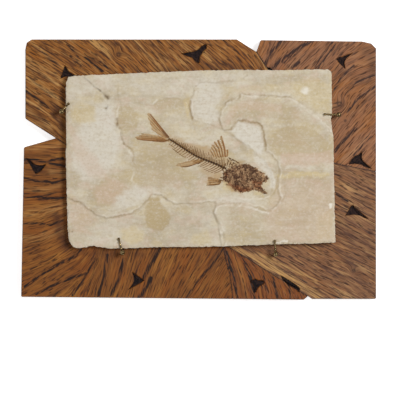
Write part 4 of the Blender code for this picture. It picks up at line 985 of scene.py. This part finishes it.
def fossil_bone(name, deep, body, worn, bared=STONE_CREAM):
    """Brown mineral bone: darker in its pits, worn pale where it is high, a dull sheen.
    Its specks, 0.45 mm wide, stand for pores that are too fine to show."""
    material, shader = new_material(name)
    where = add_node(material, "TexCoord", output="Object")
    where = add_node(material, "VectorMath", where, 1 / MM, operation="SCALE")
    mottle = add_node(material, "TexNoise", where, 3, 0.6, cell=(1.3, 1.3, 1.3), seed=2.0)
    speck = add_node(material, "TexNoise", where, 2, 0.6, cell=(0.45, 0.45, 0.45), seed=6.0)
    browned = add_node(material, "MapRange", mottle, 0.28, 0.52)
    colour = add_node(material, "Mix", browned, deep, body, data_type="RGBA")
    bright = add_node(material, "MapRange", speck, 0.56, 0.72)
    colour = add_node(material, "Mix", bright, colour, worn, data_type="RGBA")
    for tone, tint in (("worn", worn), ("rust", RUST), ("deep", deep), ("stone", bared)):
        painted = add_node(material, "Attribute", attribute_name=tone, output="Fac")
        colour = add_node(material, "Mix", painted, colour, tint, data_type="RGBA")
    shader.inputs["Roughness"].default_value = 0.62
    shader.inputs["IOR"].default_value = 1.55
    shader.inputs["Specular IOR Level"].default_value = 0.2
    bump = add_node(material, "Bump", 0.4, 0.0001, None, speck)
    for name, output in (("Base Color", colour), ("Normal", bump)):
        material.node_tree.links.new(output, shader.inputs[name])
    return material


def rod(bm, path, radii, sides=6):
    """A round bone along a path in mm, closed at both ends; gives its vertices."""
    path = [Vector(point) for point in path]
    circle = bmesh.ops.create_circle(bm, cap_ends=True, segments=sides, radius=1)["verts"]
    face = circle[0].link_faces[0]
    corners = [vert.co.copy() for vert in face.verts]
    first = list(face.verts)
    made = list(first)
    for index, (place, radius) in enumerate(zip(path, radii)):
        if index:
            face = bmesh.ops.extrude_discrete_faces(bm, faces=[face])["faces"][0]
            made += face.verts
        ahead = path[min(index + 1, len(path) - 1)] - path[max(index - 1, 0)]
        turn = ahead.to_track_quat("Z", "Y")
        for vert, corner in zip(face.verts, corners):
            vert.co = (place + turn @ (corner * radius)) * MM
    bm.faces.new(reversed(first))
    return made


def read_rows(rows, position):
    """Values at a position, read between rows of (position, value, value)."""
    columns = np.array(rows, float).T
    return [float(np.interp(position, columns[0], column)) for column in columns[1:]]


def seated(points, lift):
    """Plan points given the height of the stone under them, plus a lift."""
    heights = stone_height(np.array(points, float))
    return [(x, y, z + lift) for (x, y), z in zip(points, heights)]


def shaded(name, bm, material, slot, node, deep=None, worn=None, rust=None, stone=None):
    """Finish a bone piece: normals, smooth faces and its painted tones."""
    bmesh.ops.recalc_face_normals(bm, faces=bm.faces[:])
    for face in bm.faces:
        face.smooth = True
    piece = add_piece(name, bm, material, slot, node)
    count = len(piece.data.vertices)
    for tone, values in (("deep", deep), ("worn", worn), ("rust", rust), ("stone", stone)):
        paint(piece.data, tone, np.zeros(count) if values is None else values)
    return piece


def fine_bone(bm, root, length, lean, curl, thick):
    """A tapering spine or rib that curls along its length, sometimes snapped."""
    broken = luck.random() < SNAPPED
    place = Vector(root)
    plan = [tuple(place)]
    for station in range(SPINE_STATIONS):
        heading = math.radians(lean - curl * station / SPINE_STATIONS)
        place = place + Vector((math.cos(heading), math.sin(heading))) * length / SPINE_STATIONS
        plan.append(tuple(place))
    path = seated(plan, 0.02)
    radii = [thick * (1 - 0.5 * index / SPINE_STATIONS) for index in range(SPINE_STATIONS + 1)]
    if broken:
        cut = luck.choice((3, 4))
        rod(bm, path[:cut + 1], radii[:cut + 1])
        rod(bm, [(x + 0.12, y - 0.1, z) for x, y, z in path[cut + 1:]], radii[cut + 1:])
    else:
        rod(bm, path, radii)


bone_material = fossil_bone("fossil_bone_dark_brown", BONE_DARK, BONE_BROWN, BONE_TAN)
spine_bm = bmesh.new()
marks = np.linspace(0, 1, VERTEBRAE + 1)
joints = along_line(SPINE, marks)
for index in range(VERTEBRAE):
    share = index / VERTEBRAE
    radius = VERTEBRA_RADIUS[0] + (VERTEBRA_RADIUS[1] - VERTEBRA_RADIUS[0]) * share
    start, end = joints[index], joints[index + 1]
    plan = [tuple(start + (end - start) * stop) for stop, _, _ in VERTEBRA_STATIONS]
    rod(spine_bm, seated(plan, 0.2), [radius * width for _, width, _ in VERTEBRA_STATIONS], VERTEBRA_SIDES)
vertebra_count = len(spine_bm.verts)
for index in range(2 * VERTEBRAE - 1):
    share = (index + 1) / (2 * VERTEBRAE)
    root = along_line(SPINE, np.array([share]))[0]
    # Between two spines of the back lies one finer bone of the flesh.
    between = index % 2
    for rows in (UPPER_SPINES,) if between else (UPPER_SPINES, LOWER_SPINES):
        length, lean, curl = read_rows(rows, share)
        length *= luck.uniform(0.85, 1.1) * (0.75 if between else 1)
        thick = luck.uniform(*SPINE_RADIUS) * (0.6 if between else 1)
        fine_bone(spine_bm, tuple(root), length, lean + luck.uniform(-2, 2), curl, thick)
for line, thick in TAIL_EDGES:
    rod(spine_bm, seated(line, 0.05), [thick * 0.6, thick, thick * 0.5])
spine_count = len(spine_bm.verts)
worn = np.full(spine_count, SPINE_TONE)
worn[:vertebra_count] = 0
deep = np.zeros(spine_count)
ring_tones = [tone for _, _, tone in VERTEBRA_STATIONS]
deep[:vertebra_count] = np.tile(np.repeat(ring_tones, VERTEBRA_SIDES), VERTEBRAE)
shaded("backbone_bones", spine_bm, bone_material, "fossil_bone", "backbone", deep=deep, worn=worn)

nape_bm = bmesh.new()
for start, end, thick in NAPE_BONES:
    middle = ((start[0] + end[0]) / 2, (start[1] + end[1]) / 2)
    rod(nape_bm, seated([start, middle, end], 0.1), [thick * 0.5, thick, thick * 0.4], 8)
shaded("nape_bones_fossil", nape_bm, bone_material, "fossil_bone", "nape_bones")


RELIEF_SUNK = 0.3                  # mm that a relief reaches down into the stone


def relief(outline, pitch, shape, depth=None):
    """A closed low relief: a grid trimmed to an outline, or to where depth is over 0, and raised."""
    xs = [x for x, _ in outline]
    ys = [y for _, y in outline]
    columns = int((max(xs) - min(xs)) / pitch)
    rows = int((max(ys) - min(ys)) / pitch)
    bm = bmesh.new()
    bmesh.ops.create_grid(bm, x_segments=columns, y_segments=rows, size=0.5)
    bmesh.ops.translate(bm, vec=(0.5, 0.5, 0), verts=bm.verts[:])
    bmesh.ops.scale(bm, vec=(max(xs) - min(xs), max(ys) - min(ys), 1), verts=bm.verts[:])
    bmesh.ops.translate(bm, vec=(min(xs), min(ys), 0), verts=bm.verts[:])
    middles = np.array([face.calc_center_median().xy for face in bm.faces])
    keep = depth(middles) > 0 if depth else is_inside(middles, outline)
    cut = [face for face, kept in zip(bm.faces[:], keep) if not kept]
    bmesh.ops.delete(bm, geom=cut, context="FACES")
    lower = bm.verts[:]
    raised = bmesh.ops.extrude_face_region(bm, geom=bm.faces[:], use_keep_orig=True)["geom"]
    upper = [item for item in raised if isinstance(item, bmesh.types.BMVert)]
    plan = np.array([vert.co.xy for vert in upper])
    ground = stone_height(plan)
    for vert, (x, y), z in zip(upper, plan, ground + shape(plan)):
        vert.co = Vector((x, y, z)) * MM
    sunk = float(ground.min()) - RELIEF_SUNK
    for vert in lower:
        vert.co = Vector((vert.co.x, vert.co.y, sunk)) * MM
    return bm


# Outline of each fin; its rays with half width and darkness; and its rusty, dark and
# pale stains.
FINS = {
    "tail_fin": {
        "outline": [
            (-20.6, 21.4), (-20.9, 23.6), (-26.6, 30.6), (-33.8, 39.6), (-35.2, 40.9), (-36.8, 41),
            (-37.2, 38.6), (-36.6, 36.2), (-35, 32.4), (-34, 28.4), (-31.4, 26.4), (-30, 25), (-32.6, 25.4),
            (-36.4, 26), (-41.6, 26.3), (-41.2, 25), (-43.2, 24.6), (-45.8, 23.3), (-44.4, 21.4),
            (-39.4, 20.5), (-32.8, 19.8), (-26, 19.2), (-22.6, 19.6)],
        "rays": [
            ([(-20.8, 23.1), (-27.4, 30.8), (-34.4, 39.4)], 0.55, 1),
            ([(-22.1, 23.1), (-29.4, 31.5), (-36.4, 39.8)], 0.4, 0.8),
            ([(-22.8, 22.9), (-30.1, 30.1), (-35.8, 36.8)], 0.35, 0.6),
            ([(-23.4, 22.7), (-30.8, 28.8), (-34.4, 32.8)], 0.35, 0.5),
            ([(-24.1, 22.5), (-30.1, 26.8), (-33.4, 28.8)], 0.3, 0.45),
            ([(-24.8, 22.1), (-29.4, 23.5), (-36.1, 24.8), (-41.1, 25.5)], 0.35, 0.65),
            ([(-24.4, 21.8), (-32.8, 23.1), (-42.1, 24.1)], 0.35, 0.75),
            ([(-24.1, 21.3), (-32.8, 22.1), (-45.4, 22.9)], 0.4, 0.95),
            ([(-22.8, 20.8), (-29.4, 20.8), (-39.4, 21.1), (-44.1, 21.8)], 0.5, 1),
            ([(-21.4, 21.1), (-25.4, 19.8), (-32.8, 20.3)], 0.35, 0.9)],
        "rust": [
            ([(-20.8, 22.6), (-24.2, 26)], 1, 0.5), ([(-24, 26), (-35, 39)], 1.2, 0.35),
            ([(-24, 20.6), (-44, 21.6)], 1, 0.3)],
        "dark": [
            ([(-20, 22.2), (-22.5, 24), (-25.1, 26.8)], 1.3, 0.75),
            ([(-20.6, 21.2), (-24, 20.3), (-30, 20.4)], 0.8, 0.6)],
        "pale": [
            ([(-37, 40), (-34.6, 36.4)], 2.2, 0.65), ([(-42, 25.4), (-30, 24.2)], 1.2, 0.55),
            ([(-33, 29), (-27, 26)], 1, 0.5), ([(-46, 23.2), (-42, 23)], 1.2, 0.5)],
        "bare": 0.5},
    "dorsal_fin": {
        "outline": [
            (9.6, 8.6), (13, 8), (16.5, 8.2), (20, 8.6), (22, 9.4), (21.8, 14.4), (20.2, 14.6), (19.6, 16),
            (17, 24.6), (15.4, 24.2), (14.6, 21.6), (13.4, 21.6), (12.6, 20), (10.8, 20.4), (10.4, 18),
            (9, 18), (8.6, 16), (7.4, 14.6), (7.6, 13)],
        "rays": [
            ([(19.2, 9), (18.5, 15.5), (16.2, 23.8)], 0.4, 1),
            ([(17.5, 9), (16.5, 14.8), (13.9, 20.8)], 0.36, 0.95),
            ([(15.8, 9), (14.5, 14.8), (11.5, 19.8)], 0.34, 0.9),
            ([(14.2, 9), (12.5, 14.1), (9.9, 17.5)], 0.32, 0.85),
            ([(12.5, 9), (10.9, 13.5), (9.2, 15.8)], 0.3, 0.75),
            ([(10.9, 9.2), (9.5, 12.1), (8.2, 13.8)], 0.3, 0.7),
            ([(20.5, 9.4), (20.8, 12.1), (20.8, 14.1)], 0.32, 0.85)],
        "rust": [([(19, 10), (17.5, 18)], 1.4, 0.3)],
        "dark": [],
        "pale": [([(16, 24.4), (16.6, 21.4)], 1, 0.5), ([(8, 14), (13, 21)], 1.2, 0.35)],
        "bare": 0.5},
    "anal_fin": {
        "outline": [
            (-17.1, 2.8), (-15.4, 4.3), (-12.1, 5), (-8.1, 6.6), (-2.8, 7.7), (1.6, 7.8), (4.2, 7),
            (1.2, 4.6), (-2.8, 3.2), (-6.1, 1.9), (-9.4, 1.2), (-13.4, 1.4)],
        "rays": [
            ([(4, 6.6), (0.5, 4.7), (-6.1, 2.4), (-12.1, 1.9)], 0.5, 1),
            ([(3.4, 6.8), (-2.8, 4.8), (-9.4, 3.5), (-16.1, 2.8)], 0.4, 0.75),
            ([(-0.1, 6.8), (-8.1, 4.8), (-14.8, 3.8)], 0.45, 0.6)],
        "rust": [],
        "dark": [([(-11.2, 1.9), (-5.3, 2.5), (0.5, 4.7), (3.8, 6.4)], 0.5, 0.85)],
        "pale": [([(-16, 3), (-10, 3.6), (-5, 4.8)], 1.4, 0.6)],
        "bare": 0.4},
    "pelvic_fin": {
        "outline": [
            (5.2, -11.7), (6, -9.8), (6.4, -5.2), (9.2, -5), (13.9, -6.2), (16.2, -7), (16.6, -9.2),
            (15.2, -11), (10.5, -11.8)],
        "rays": [
            ([(16, -7.6), (15.8, -9.4), (14.4, -10.7), (5.9, -11.3)], 0.5, 1),
            ([(15, -8.8), (10.4, -9.2), (6.2, -9.8)], 0.42, 0.85),
            ([(14.8, -8), (9.4, -7.6), (6.3, -7.9)], 0.4, 0.65),
            ([(14, -7.1), (9, -6.1), (6.6, -6.2)], 0.4, 0.55)],
        "rust": [],
        "dark": [
            ([(7.2, -11.3), (11, -11.2), (15.2, -10.8)], 0.5, 0.8),
            ([(15.6, -7.8), (14.6, -8.8)], 1.1, 0.85), ([(7, -6), (9.6, -6.6)], 0.9, 0.45)],
        "pale": [
            ([(5.8, -7.4), (6, -10.4)], 1.5, 0.75), ([(9, -10), (13, -9.6)], 0.5, 0.5),
            ([(10, -6), (13, -6.6)], 0.8, 0.4)],
        "bare": 0.35}}
FIN_PITCH = 0.16                   # mm, the grid that a fin is cut from
fin_material = fossil_bone("fossil_fin_tan", "#5c3a1e", "#a47845", "#c6a16c", "#d4c19c")


for node, fin in FINS.items():
    def fin_shape(plan, fin=fin):
        rise = eased(inner_distance(plan, fin["outline"]) / 0.5)
        return -0.1 + rise * (0.1 + 0.4 * painted_lines(plan, fin["rays"]))

    fin_bm = relief(fin["outline"], FIN_PITCH, fin_shape)
    plan = np.array([vert.co.xy for vert in fin_bm.verts]) / MM
    rays = painted_lines(plan, fin["rays"])
    bare = fin["bare"] * (1 - eased(rays / 0.55)) * (0.85 + 0.5 * rough(plan, 1.8, 2, 21))
    bare = np.maximum(bare, 0.6 * (1 - eased(inner_distance(plan, fin["outline"]) / 0.9)) * (1 - rays))
    bare = np.maximum(bare, painted_lines(plan, fin["pale"]) * (1 - 0.5 * rays))
    dark = np.maximum(0.8 * (rays - 0.4), painted_lines(plan, fin["dark"]))
    shaded(node + "_fossil", fin_bm, fin_material, "fossil_fin", node, deep=np.clip(dark, 0, 0.9),
           rust=painted_lines(plan, fin["rust"]), stone=np.clip(bare, 0, 0.95))

# The crushed head: its outline, and the grid that it is cut from, mm.
SKULL = [
    (19.8, 0.4), (22, 2.2), (24.8, 2.6), (28.4, 3.4), (32, 4.8), (36.3, 3.8), (39.6, 2.2), (43.7, -0.6),
    (47.4, -3.6), (51, -6.5), (48, -8.9), (46.2, -10.4), (45.2, -11.4), (45.6, -12.7), (47, -14.2),
    (49.8, -17.4), (47.6, -18.2), (43.3, -15.9), (39.9, -14.9), (34.8, -16.4), (30.5, -16.8), (25.1, -15.1),
    (21.6, -11.8), (18.2, -8.8), (16.4, -6), (17.8, -1.6)]
SKULL_PITCH = 0.17
SPLINTERS = 130                    # loose slivers of bone on the head
SPLINTER_SIDES = 5
DARK_SLIVER, BROWN_SLIVER, PALE_SLIVER = 1, 2, 3
EYE = (36.9, -3)
EYE_RADIUS = 2.2
# Crests and sutures of the head: line, half width and height, mm.
SKULL_CRESTS = [
    ([(22, 1), (28, 2.6), (33, 3), (40, 0.4), (47, -4.6)], 0.7, 0.35),
    ([(31, 0), (29, -4), (28.6, -8), (30.4, -12), (33.5, -14.6)], 0.6, 0.4),
    ([(25, 0.4), (23.4, -3.6), (23.6, -8), (26.4, -12.4)], 0.6, 0.35),
    ([(20, -1), (19.6, -5), (22, -9.6)], 0.6, 0.3), ([(41, -2.4), (46, -5.6), (50, -6.6)], 0.55, 0.35),
    ([(34.6, -9.8), (40.4, -8.4), (46.4, -8.6)], 0.6, 0.35),
    ([(35, -14.6), (41, -12.8), (45.4, -14), (48.8, -17)], 0.6, 0.45),
    ([(33, -12.2), (38, -11.6), (41.4, -11.8)], 0.5, 0.3),
    ([(26, -13.4), (31, -15.2), (35.6, -15)], 0.45, 0.3), ([(27.4, -12), (31.4, -13.6)], 0.4, 0.25)]
SKULL_RUST = [
    ([(26.6, -12.4), (29.6, -14.2), (32.4, -14.8), (35.6, -14.6)], 1.8, 0.75),
    ([(39.6, -8.8), (42, -9.8), (45, -9.8)], 1.3, 0.65), ([(41, -12), (44.4, -12.6)], 1.4, 0.6),
    ([(19.4, -3.2), (20.2, -4.2)], 0.9, 0.7), ([(22.4, -10.4), (24.6, -12.4)], 0.8, 0.5)]
SKULL_DEEP = [
    ([(33, 2.2), (36, 1.6), (39.6, -1)], 1.9, 0.8), ([(25.6, -5.4), (27, -8), (28.4, -10.6)], 1.5, 0.75),
    ([(20.3, -1.8), (20.8, -3.2)], 1.2, 1), ([(19, -6), (21.6, -8.6)], 1.2, 0.45),
    ([(23.4, -2.2), (26.4, 0.8), (28.4, 2)], 0.7, 0.6), ([(37, -2.4), (37.4, -4.8)], 0.8, 0.9),
    ([(42, -3.4), (43.6, -5)], 1, 0.5), ([(36.4, -6.7), (40, -6.6)], 0.5, 0.7),
    ([(47.4, -6.4), (50.4, -6.6)], 0.7, 0.7), ([(44, -13.6), (46.6, -14.8), (49, -17)], 0.9, 0.8),
    ([(31.4, -11.2), (33, -13.2), (35.4, -12.8)], 0.7, 0.7), ([(26.6, -6), (28, -8)], 2.1, 0.8)]
# Ridges worn pale: the eye's ring, the gill cover's edge, the cheek and the lower fringe.
SKULL_PALE = [
    ([(38.2, -1.6), (36.4, -1), (35.4, -3.8), (36, -6.4)], 0.45, 0.85),
    ([(38.4, -2.8), (37.6, -3.6)], 0.35, 0.8), ([(30, -6.4), (29.8, -10.4)], 0.4, 0.8),
    ([(23.4, -3.2), (22.6, -5), (23.4, -6.6)], 0.45, 0.7), ([(23, -4), (25.6, -3.6)], 0.35, 0.6),
    ([(28.1, -2.2), (28.2, -2.9)], 0.5, 0.7), ([(32.2, -2.9), (35.5, -1.3)], 0.4, 0.7),
    ([(33.6, -5.4), (33.9, -7.8)], 0.45, 0.6), ([(37.4, -9.4), (38, -9)], 0.6, 0.8),
    ([(41, -11), (43, -11.2), (45, -12)], 0.7, 0.75), ([(23.9, -13.6), (27.2, -15.6)], 0.7, 0.7),
    ([(33.4, -14.8), (36.4, -13.4), (39.6, -12.6)], 0.5, 0.6), ([(39.4, -3.4), (41.2, -2.2)], 0.4, 0.8),
    ([(45.6, -4.4), (46.2, -6)], 0.5, 0.6)]
# Where the bone is smoother, and shows few cracks.
SKULL_CALM = [
    ([(31.6, -3.6), (32, -7), (33.6, -10.4)], 2.0, 0.9), ([(26.6, -6), (28, -8)], 2.2, 0.9),
    ([(22, -1.4), (26, 0.6)], 1.4, 0.6)]


def fragments(points, cell, seed):
    """Crushed bone: for each point its fragment's tilt, 0 to 1, and its distance from a crack."""
    tilts = np.empty(len(points))
    cracks = np.empty(len(points))
    for index, (x, y) in enumerate(points):
        spaces, sites = noise.voronoi((x / cell, y / cell, seed))
        tilts[index] = noise.cell(sites[0] * 9.7)
        cracks[index] = spaces[1] - spaces[0]
    return np.clip(tilts * 0.5 + 0.5, 0, 1), cracks


def creased(points, cell, seed):
    """Thin winding creases or ridges: 1 on a line, fading to 0 beside it."""
    return np.clip(1.2 - np.abs(rough(points, cell, 2, seed)) * 6, 0, 1)


def head_depth(plan):
    """Distance in from the head's broken edge, which frays by half a millimetre."""
    fray = np.column_stack([rough(plan, 1.7, 3, 36), rough(plan, 1.7, 3, 37)])
    return inner_distance(plan + 1.1 * fray, SKULL)


def skull_shape(plan):
    """Height of the head over the stone: a low dome of tilted fragments and crests."""
    inward = head_depth(plan)
    dome = eased(inward / 2.2) * 0.55 + eased(inward / 0.5) * 0.25
    coarse, coarse_cracks = fragments(plan, 2.6, 2.0)
    fine, fine_cracks = fragments(plan, 1.1, 5.0)
    height = dome * (0.75 + 0.35 * coarse + 0.25 * fine)
    height = height - 0.2 * np.exp(-coarse_cracks / 0.1) - 0.1 * np.exp(-fine_cracks / 0.12)
    height = height + (0.3 * creased(plan, 2.1, 33) - 0.2 * creased(plan, 1.9, 35)) * eased(inward / 1.0)
    for line, half_width, rise in SKULL_CRESTS:
        height = height + rise * 0.6 * np.exp(-(distance_to(plan, line) / half_width) ** 2)
    from_eye = np.hypot(plan[:, 0] - EYE[0], plan[:, 1] - EYE[1])
    height = height + 0.3 * np.exp(-((from_eye - EYE_RADIUS) / 0.45) ** 2)
    height = height - 0.45 * eased((EYE_RADIUS - from_eye) / 0.8) + 0.3 * np.exp(-(from_eye / 0.9) ** 2)
    return np.where(inward > 0.05, height, -0.25)


def tones_of(plan):
    """How dark, pale and rusty the head is at each point, and how far stone shows through."""
    tone = rough(plan, 2.8, 3, 32)
    dark = painted_lines(plan, SKULL_DEEP)
    cracked = 1 - 0.7 * painted_lines(plan, SKULL_CALM)
    pale_threads = np.maximum(creased(plan, 2.1, 33) * cracked * 0.85, painted_lines(plan, SKULL_PALE))
    deep = (0.55 * eased((0.04 - tone) / 0.25) + 0.75 * creased(plan, 1.9, 35)) * cracked + 0.9 * dark
    deep = np.clip(deep, 0, 0.95) * (1 - 0.75 * pale_threads)
    worn = np.clip(0.45 * eased((tone - 0.12) / 0.25) * cracked + 0.8 * pale_threads, 0, 0.9)
    worn = worn * (1 - 0.5 * dark)
    ragged = eased(head_depth(plan) / 1.1 + 0.2)
    return deep, worn, painted_lines(plan, SKULL_RUST), 0.7 * (1 - ragged)


skull_bm = relief(SKULL, SKULL_PITCH, skull_shape, head_depth)
sliver_kind = skull_bm.verts.layers.int.new("kind")
scattered = np.array([(luck.uniform(17, 50), luck.uniform(-17.5, 4.5)) for _ in range(SPLINTERS * 3)])
scattered = scattered[inner_distance(scattered, SKULL) > 0.5][:SPLINTERS]
flow = rough(scattered, 5, 2, 41)
for (x, y), bend in zip(scattered, flow):
    heading = math.radians(-20 + 170 * bend + luck.uniform(-35, 35))
    half = Vector((math.cos(heading), math.sin(heading))) * luck.uniform(0.6, 1.4)
    bow = Vector((-half.y, half.x)) * luck.uniform(-0.3, 0.3)
    line = np.array([(x - half.x, y - half.y), (x + bow.x, y + bow.y), (x + half.x, y + half.y)])
    inside = inner_distance(line, SKULL) > 0
    lifts = stone_height(line) + np.where(inside, skull_shape(line), 0) + 0.08
    thick = luck.uniform(0.22, 0.38)
    kind = luck.choice((DARK_SLIVER,) * 3 + (BROWN_SLIVER,) + (PALE_SLIVER,) * 2)
    radii = [thick * 0.5, thick, thick * 0.4]
    for vert in rod(skull_bm, np.column_stack([line, lifts]), radii, SPLINTER_SIDES):
        vert[sliver_kind] = kind
kinds = np.array([vert[sliver_kind] for vert in skull_bm.verts])
skull_bm.verts.layers.int.remove(sliver_kind)
plan = np.array([vert.co.xy for vert in skull_bm.verts]) / MM
deep, worn, rust, stone = tones_of(plan)
deep = np.where(kinds == DARK_SLIVER, 0.8, np.where(kinds > DARK_SLIVER, 0.1, deep))
worn = np.where(kinds == PALE_SLIVER, 0.75, np.where(kinds > 0, 0, worn))
rust = np.where(kinds == DARK_SLIVER, 0.6 * rust, rust)
stone = np.where(kinds > 0, 0, stone)
skull_material = fossil_bone("fossil_skull_brown", "#402519", "#835e40", "#c4a078", "#cdb287")
shaded("skull_fossil", skull_bm, skull_material, "fossil_bone", "skull", deep=deep, worn=worn, rust=rust,
       stone=stone)


# ------------------------------------------------------------------ brass pins
# Cast and turned brass, left to tarnish.  A post is driven into the board beside the stone.
# Its ball head carries an arm with a turned collar and a rounded foot, which stands on the
# stone's rim and keeps it from tipping out.
PIN_FEET = {
    "pin_left": ((-98.3, 41.5), (-93.2, 47)),
    "pin_right": ((100.4, 39.2), (90.6, 39.5)),
    "pin_bottom_left": ((-54.6, -59.7), (-57.2, -49.8)),
    "pin_bottom_right": ((55.2, -60.8), (54.6, -51.4))}
BALL_RADIUS = 1.88                 # mm
BALL_DROP = 1.9                    # mm, the ball's centre under the pin's highest point
POST_RADIUS = 0.8
POST_SUNK = 5.0                    # mm, height of the post's lower end
ARM_RADIUS = 0.58
FOOT_RADIUS = 0.98
COLLAR_RADIUS = 0.93
COLLAR_AT = 3.0                    # mm along the arm from the ball's centre
ARM_STARTS = 0.8
RING = 0.12                        # mm, how far the ring on the post stands out
BRASS = "#ab946a"
TARNISH = "#57482f"


def aged_brass():
    """Cast brass: bright where fingers rub it, brown-black tarnish in between."""
    material, shader = new_material("aged_brass_tarnished")
    where = add_node(material, "TexCoord", output="Object")
    where = add_node(material, "VectorMath", where, 1 / MM, operation="SCALE")
    patches = add_node(material, "TexNoise", where, 4, 0.6, cell=(1.6, 1.6, 1.6), seed=3.0)
    tarnish = add_node(material, "MapRange", patches, 0.38, 0.62)
    metal = add_node(material, "Mix", tarnish, BRASS, TARNISH, data_type="RGBA")
    gloss = add_node(material, "Math", tarnish, 0.14, 0.22, operation="MULTIPLY_ADD")
    bump = add_node(material, "Bump", 0.06, 0.0001, None, patches)
    shader.inputs["Metallic"].default_value = 1.0
    for name, output in (("Base Color", metal), ("Roughness", gloss), ("Normal", bump)):
        material.node_tree.links.new(output, shader.inputs[name])
    return material


def turned(bm, profile, place, direction, steps=28):
    """Turn a profile of (radius, height) about its own axis, then stand it in place."""
    known = set(bm.verts)
    points = [bm.verts.new((radius, 0, height)) for radius, height in profile]
    edges = [bm.edges.new(pair) for pair in zip(points, points[1:])]
    bmesh.ops.spin(bm, geom=points + edges, cent=(0, 0, 0), axis=(0, 0, 1), dvec=(0, 0, 0),
                   angle=math.tau, steps=steps, use_merge=True)
    bmesh.ops.remove_doubles(bm, verts=[vert for vert in bm.verts if vert not in known], dist=1e-5)
    turn = Vector(direction).to_track_quat("Z", "Y").to_matrix().to_4x4()
    bmesh.ops.transform(bm, matrix=Matrix.Translation(Vector(place)) @ turn,
                        verts=[vert for vert in bm.verts if vert not in known])


def ball_rows(radius, centre, stem, rows):
    """Rows of (radius, height) from a ball's pole to where its stem begins."""
    last = math.pi - math.asin(stem / radius)
    return [(radius * math.sin(last * row / rows), centre + radius * math.cos(last * row / rows))
            for row in range(rows + 1)]


brass = aged_brass()
for node, (post, foot) in PIN_FEET.items():
    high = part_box(node)[1]
    height = high.z / MM - BALL_DROP
    reach = Vector((*foot, 0)) - Vector((*post, 0))
    pin_bm = bmesh.new()
    post_profile = [*ball_rows(BALL_RADIUS, 0, POST_RADIUS, 12), (POST_RADIUS, -2.6),
                    (POST_RADIUS + RING, -2.8), (POST_RADIUS + RING, -3.1), (POST_RADIUS, -3.3),
                    (POST_RADIUS, POST_SUNK - height + 0.6), (0, POST_SUNK - height)]
    turned(pin_bm, post_profile, (*post, height), (0, 0, 1))
    arm_profile = [*ball_rows(FOOT_RADIUS, reach.length, ARM_RADIUS, 8),
                   (ARM_RADIUS, COLLAR_AT + 0.75), (COLLAR_RADIUS - 0.1, COLLAR_AT + 0.5),
                   (COLLAR_RADIUS, COLLAR_AT + 0.3), (COLLAR_RADIUS, COLLAR_AT - 0.3),
                   (COLLAR_RADIUS - 0.1, COLLAR_AT - 0.5), (ARM_RADIUS, COLLAR_AT - 0.75),
                   (ARM_RADIUS, ARM_STARTS), (0, ARM_STARTS)]
    turned(pin_bm, arm_profile, (*post, height), reach)
    bmesh.ops.scale(pin_bm, vec=(MM, MM, MM), verts=pin_bm.verts[:])
    bmesh.ops.recalc_face_normals(pin_bm, faces=pin_bm.faces[:])
    for face in pin_bm.faces:
        face.smooth = True
    add_piece(node + "_brass", pin_bm, brass, "aged_brass", node)


# --------------------------------------------------------------------- studio
# A white sweep under the object, a soft key light high on the right, a weaker fill
# and a bright room.  The camera hangs straight above with a long lens.
CAMERA_HEIGHT = 4.0                # m
FRAME_WIDTH = 0.2873               # m, what the camera takes in at the board's face
FRAME_CENTRE = (0.001, -0.0219)
SENSOR = 36.0                      # mm
TABLE_DROP = -0.0001               # m, so that the sweep doesn't lie in the plane of the back
LIGHTS = {"key": ((1.0, 0.42, 2.1), 0.7, 36.5), "fill": ((-1.3, -0.5, 1.4), 1.4, 6.5)}

floor_bm = bmesh.new()
bmesh.ops.create_grid(floor_bm, x_segments=1, y_segments=1, size=2.5)
floor_mesh = bpy.data.meshes.new("sweep")
floor_bm.to_mesh(floor_mesh)
floor_bm.free()
floor = bpy.data.objects.new("sweep", floor_mesh)
bpy.context.scene.collection.objects.link(floor)
floor.location.z = TABLE_DROP
# Matt white paper that glows a little, so that the floor stays plain and pale.
paper, paper_shader = new_material("white_paper")
paper_shader.inputs["Base Color"].default_value = linear("#fbfbfb")
paper_shader.inputs["Roughness"].default_value = 0.9
paper_shader.inputs["Emission Color"].default_value = (1, 1, 1, 1)
paper_shader.inputs["Emission Strength"].default_value = 0.7
floor_mesh.materials.append(paper)

for name, (place, size, power) in LIGHTS.items():
    lamp = bpy.data.lights.new(name, "AREA")
    lamp.shape = "SQUARE"
    lamp.size = size
    lamp.energy = power
    lamp_object = bpy.data.objects.new(name, lamp)
    bpy.context.scene.collection.objects.link(lamp_object)
    lamp_object.location = place
    lamp_object.rotation_euler = (-Vector(place)).to_track_quat("-Z", "Y").to_euler()

world = bpy.data.worlds.new("room")
bpy.context.scene.world = world
world.use_nodes = True
world.node_tree.nodes["Background"].inputs["Color"].default_value = (1, 1, 1, 1)
world.node_tree.nodes["Background"].inputs["Strength"].default_value = 0.26
bpy.context.scene.view_settings.view_transform = "Standard"

camera_data = bpy.data.cameras.new("camera")
camera_data.sensor_width = SENSOR
camera_data.lens = SENSOR * (CAMERA_HEIGHT - BOARD_TOP * MM) / FRAME_WIDTH
camera_data.clip_end = 20
camera = bpy.data.objects.new("camera", camera_data)
bpy.context.scene.collection.objects.link(camera)
camera.location = (*FRAME_CENTRE, CAMERA_HEIGHT)
bpy.context.scene.camera = camera
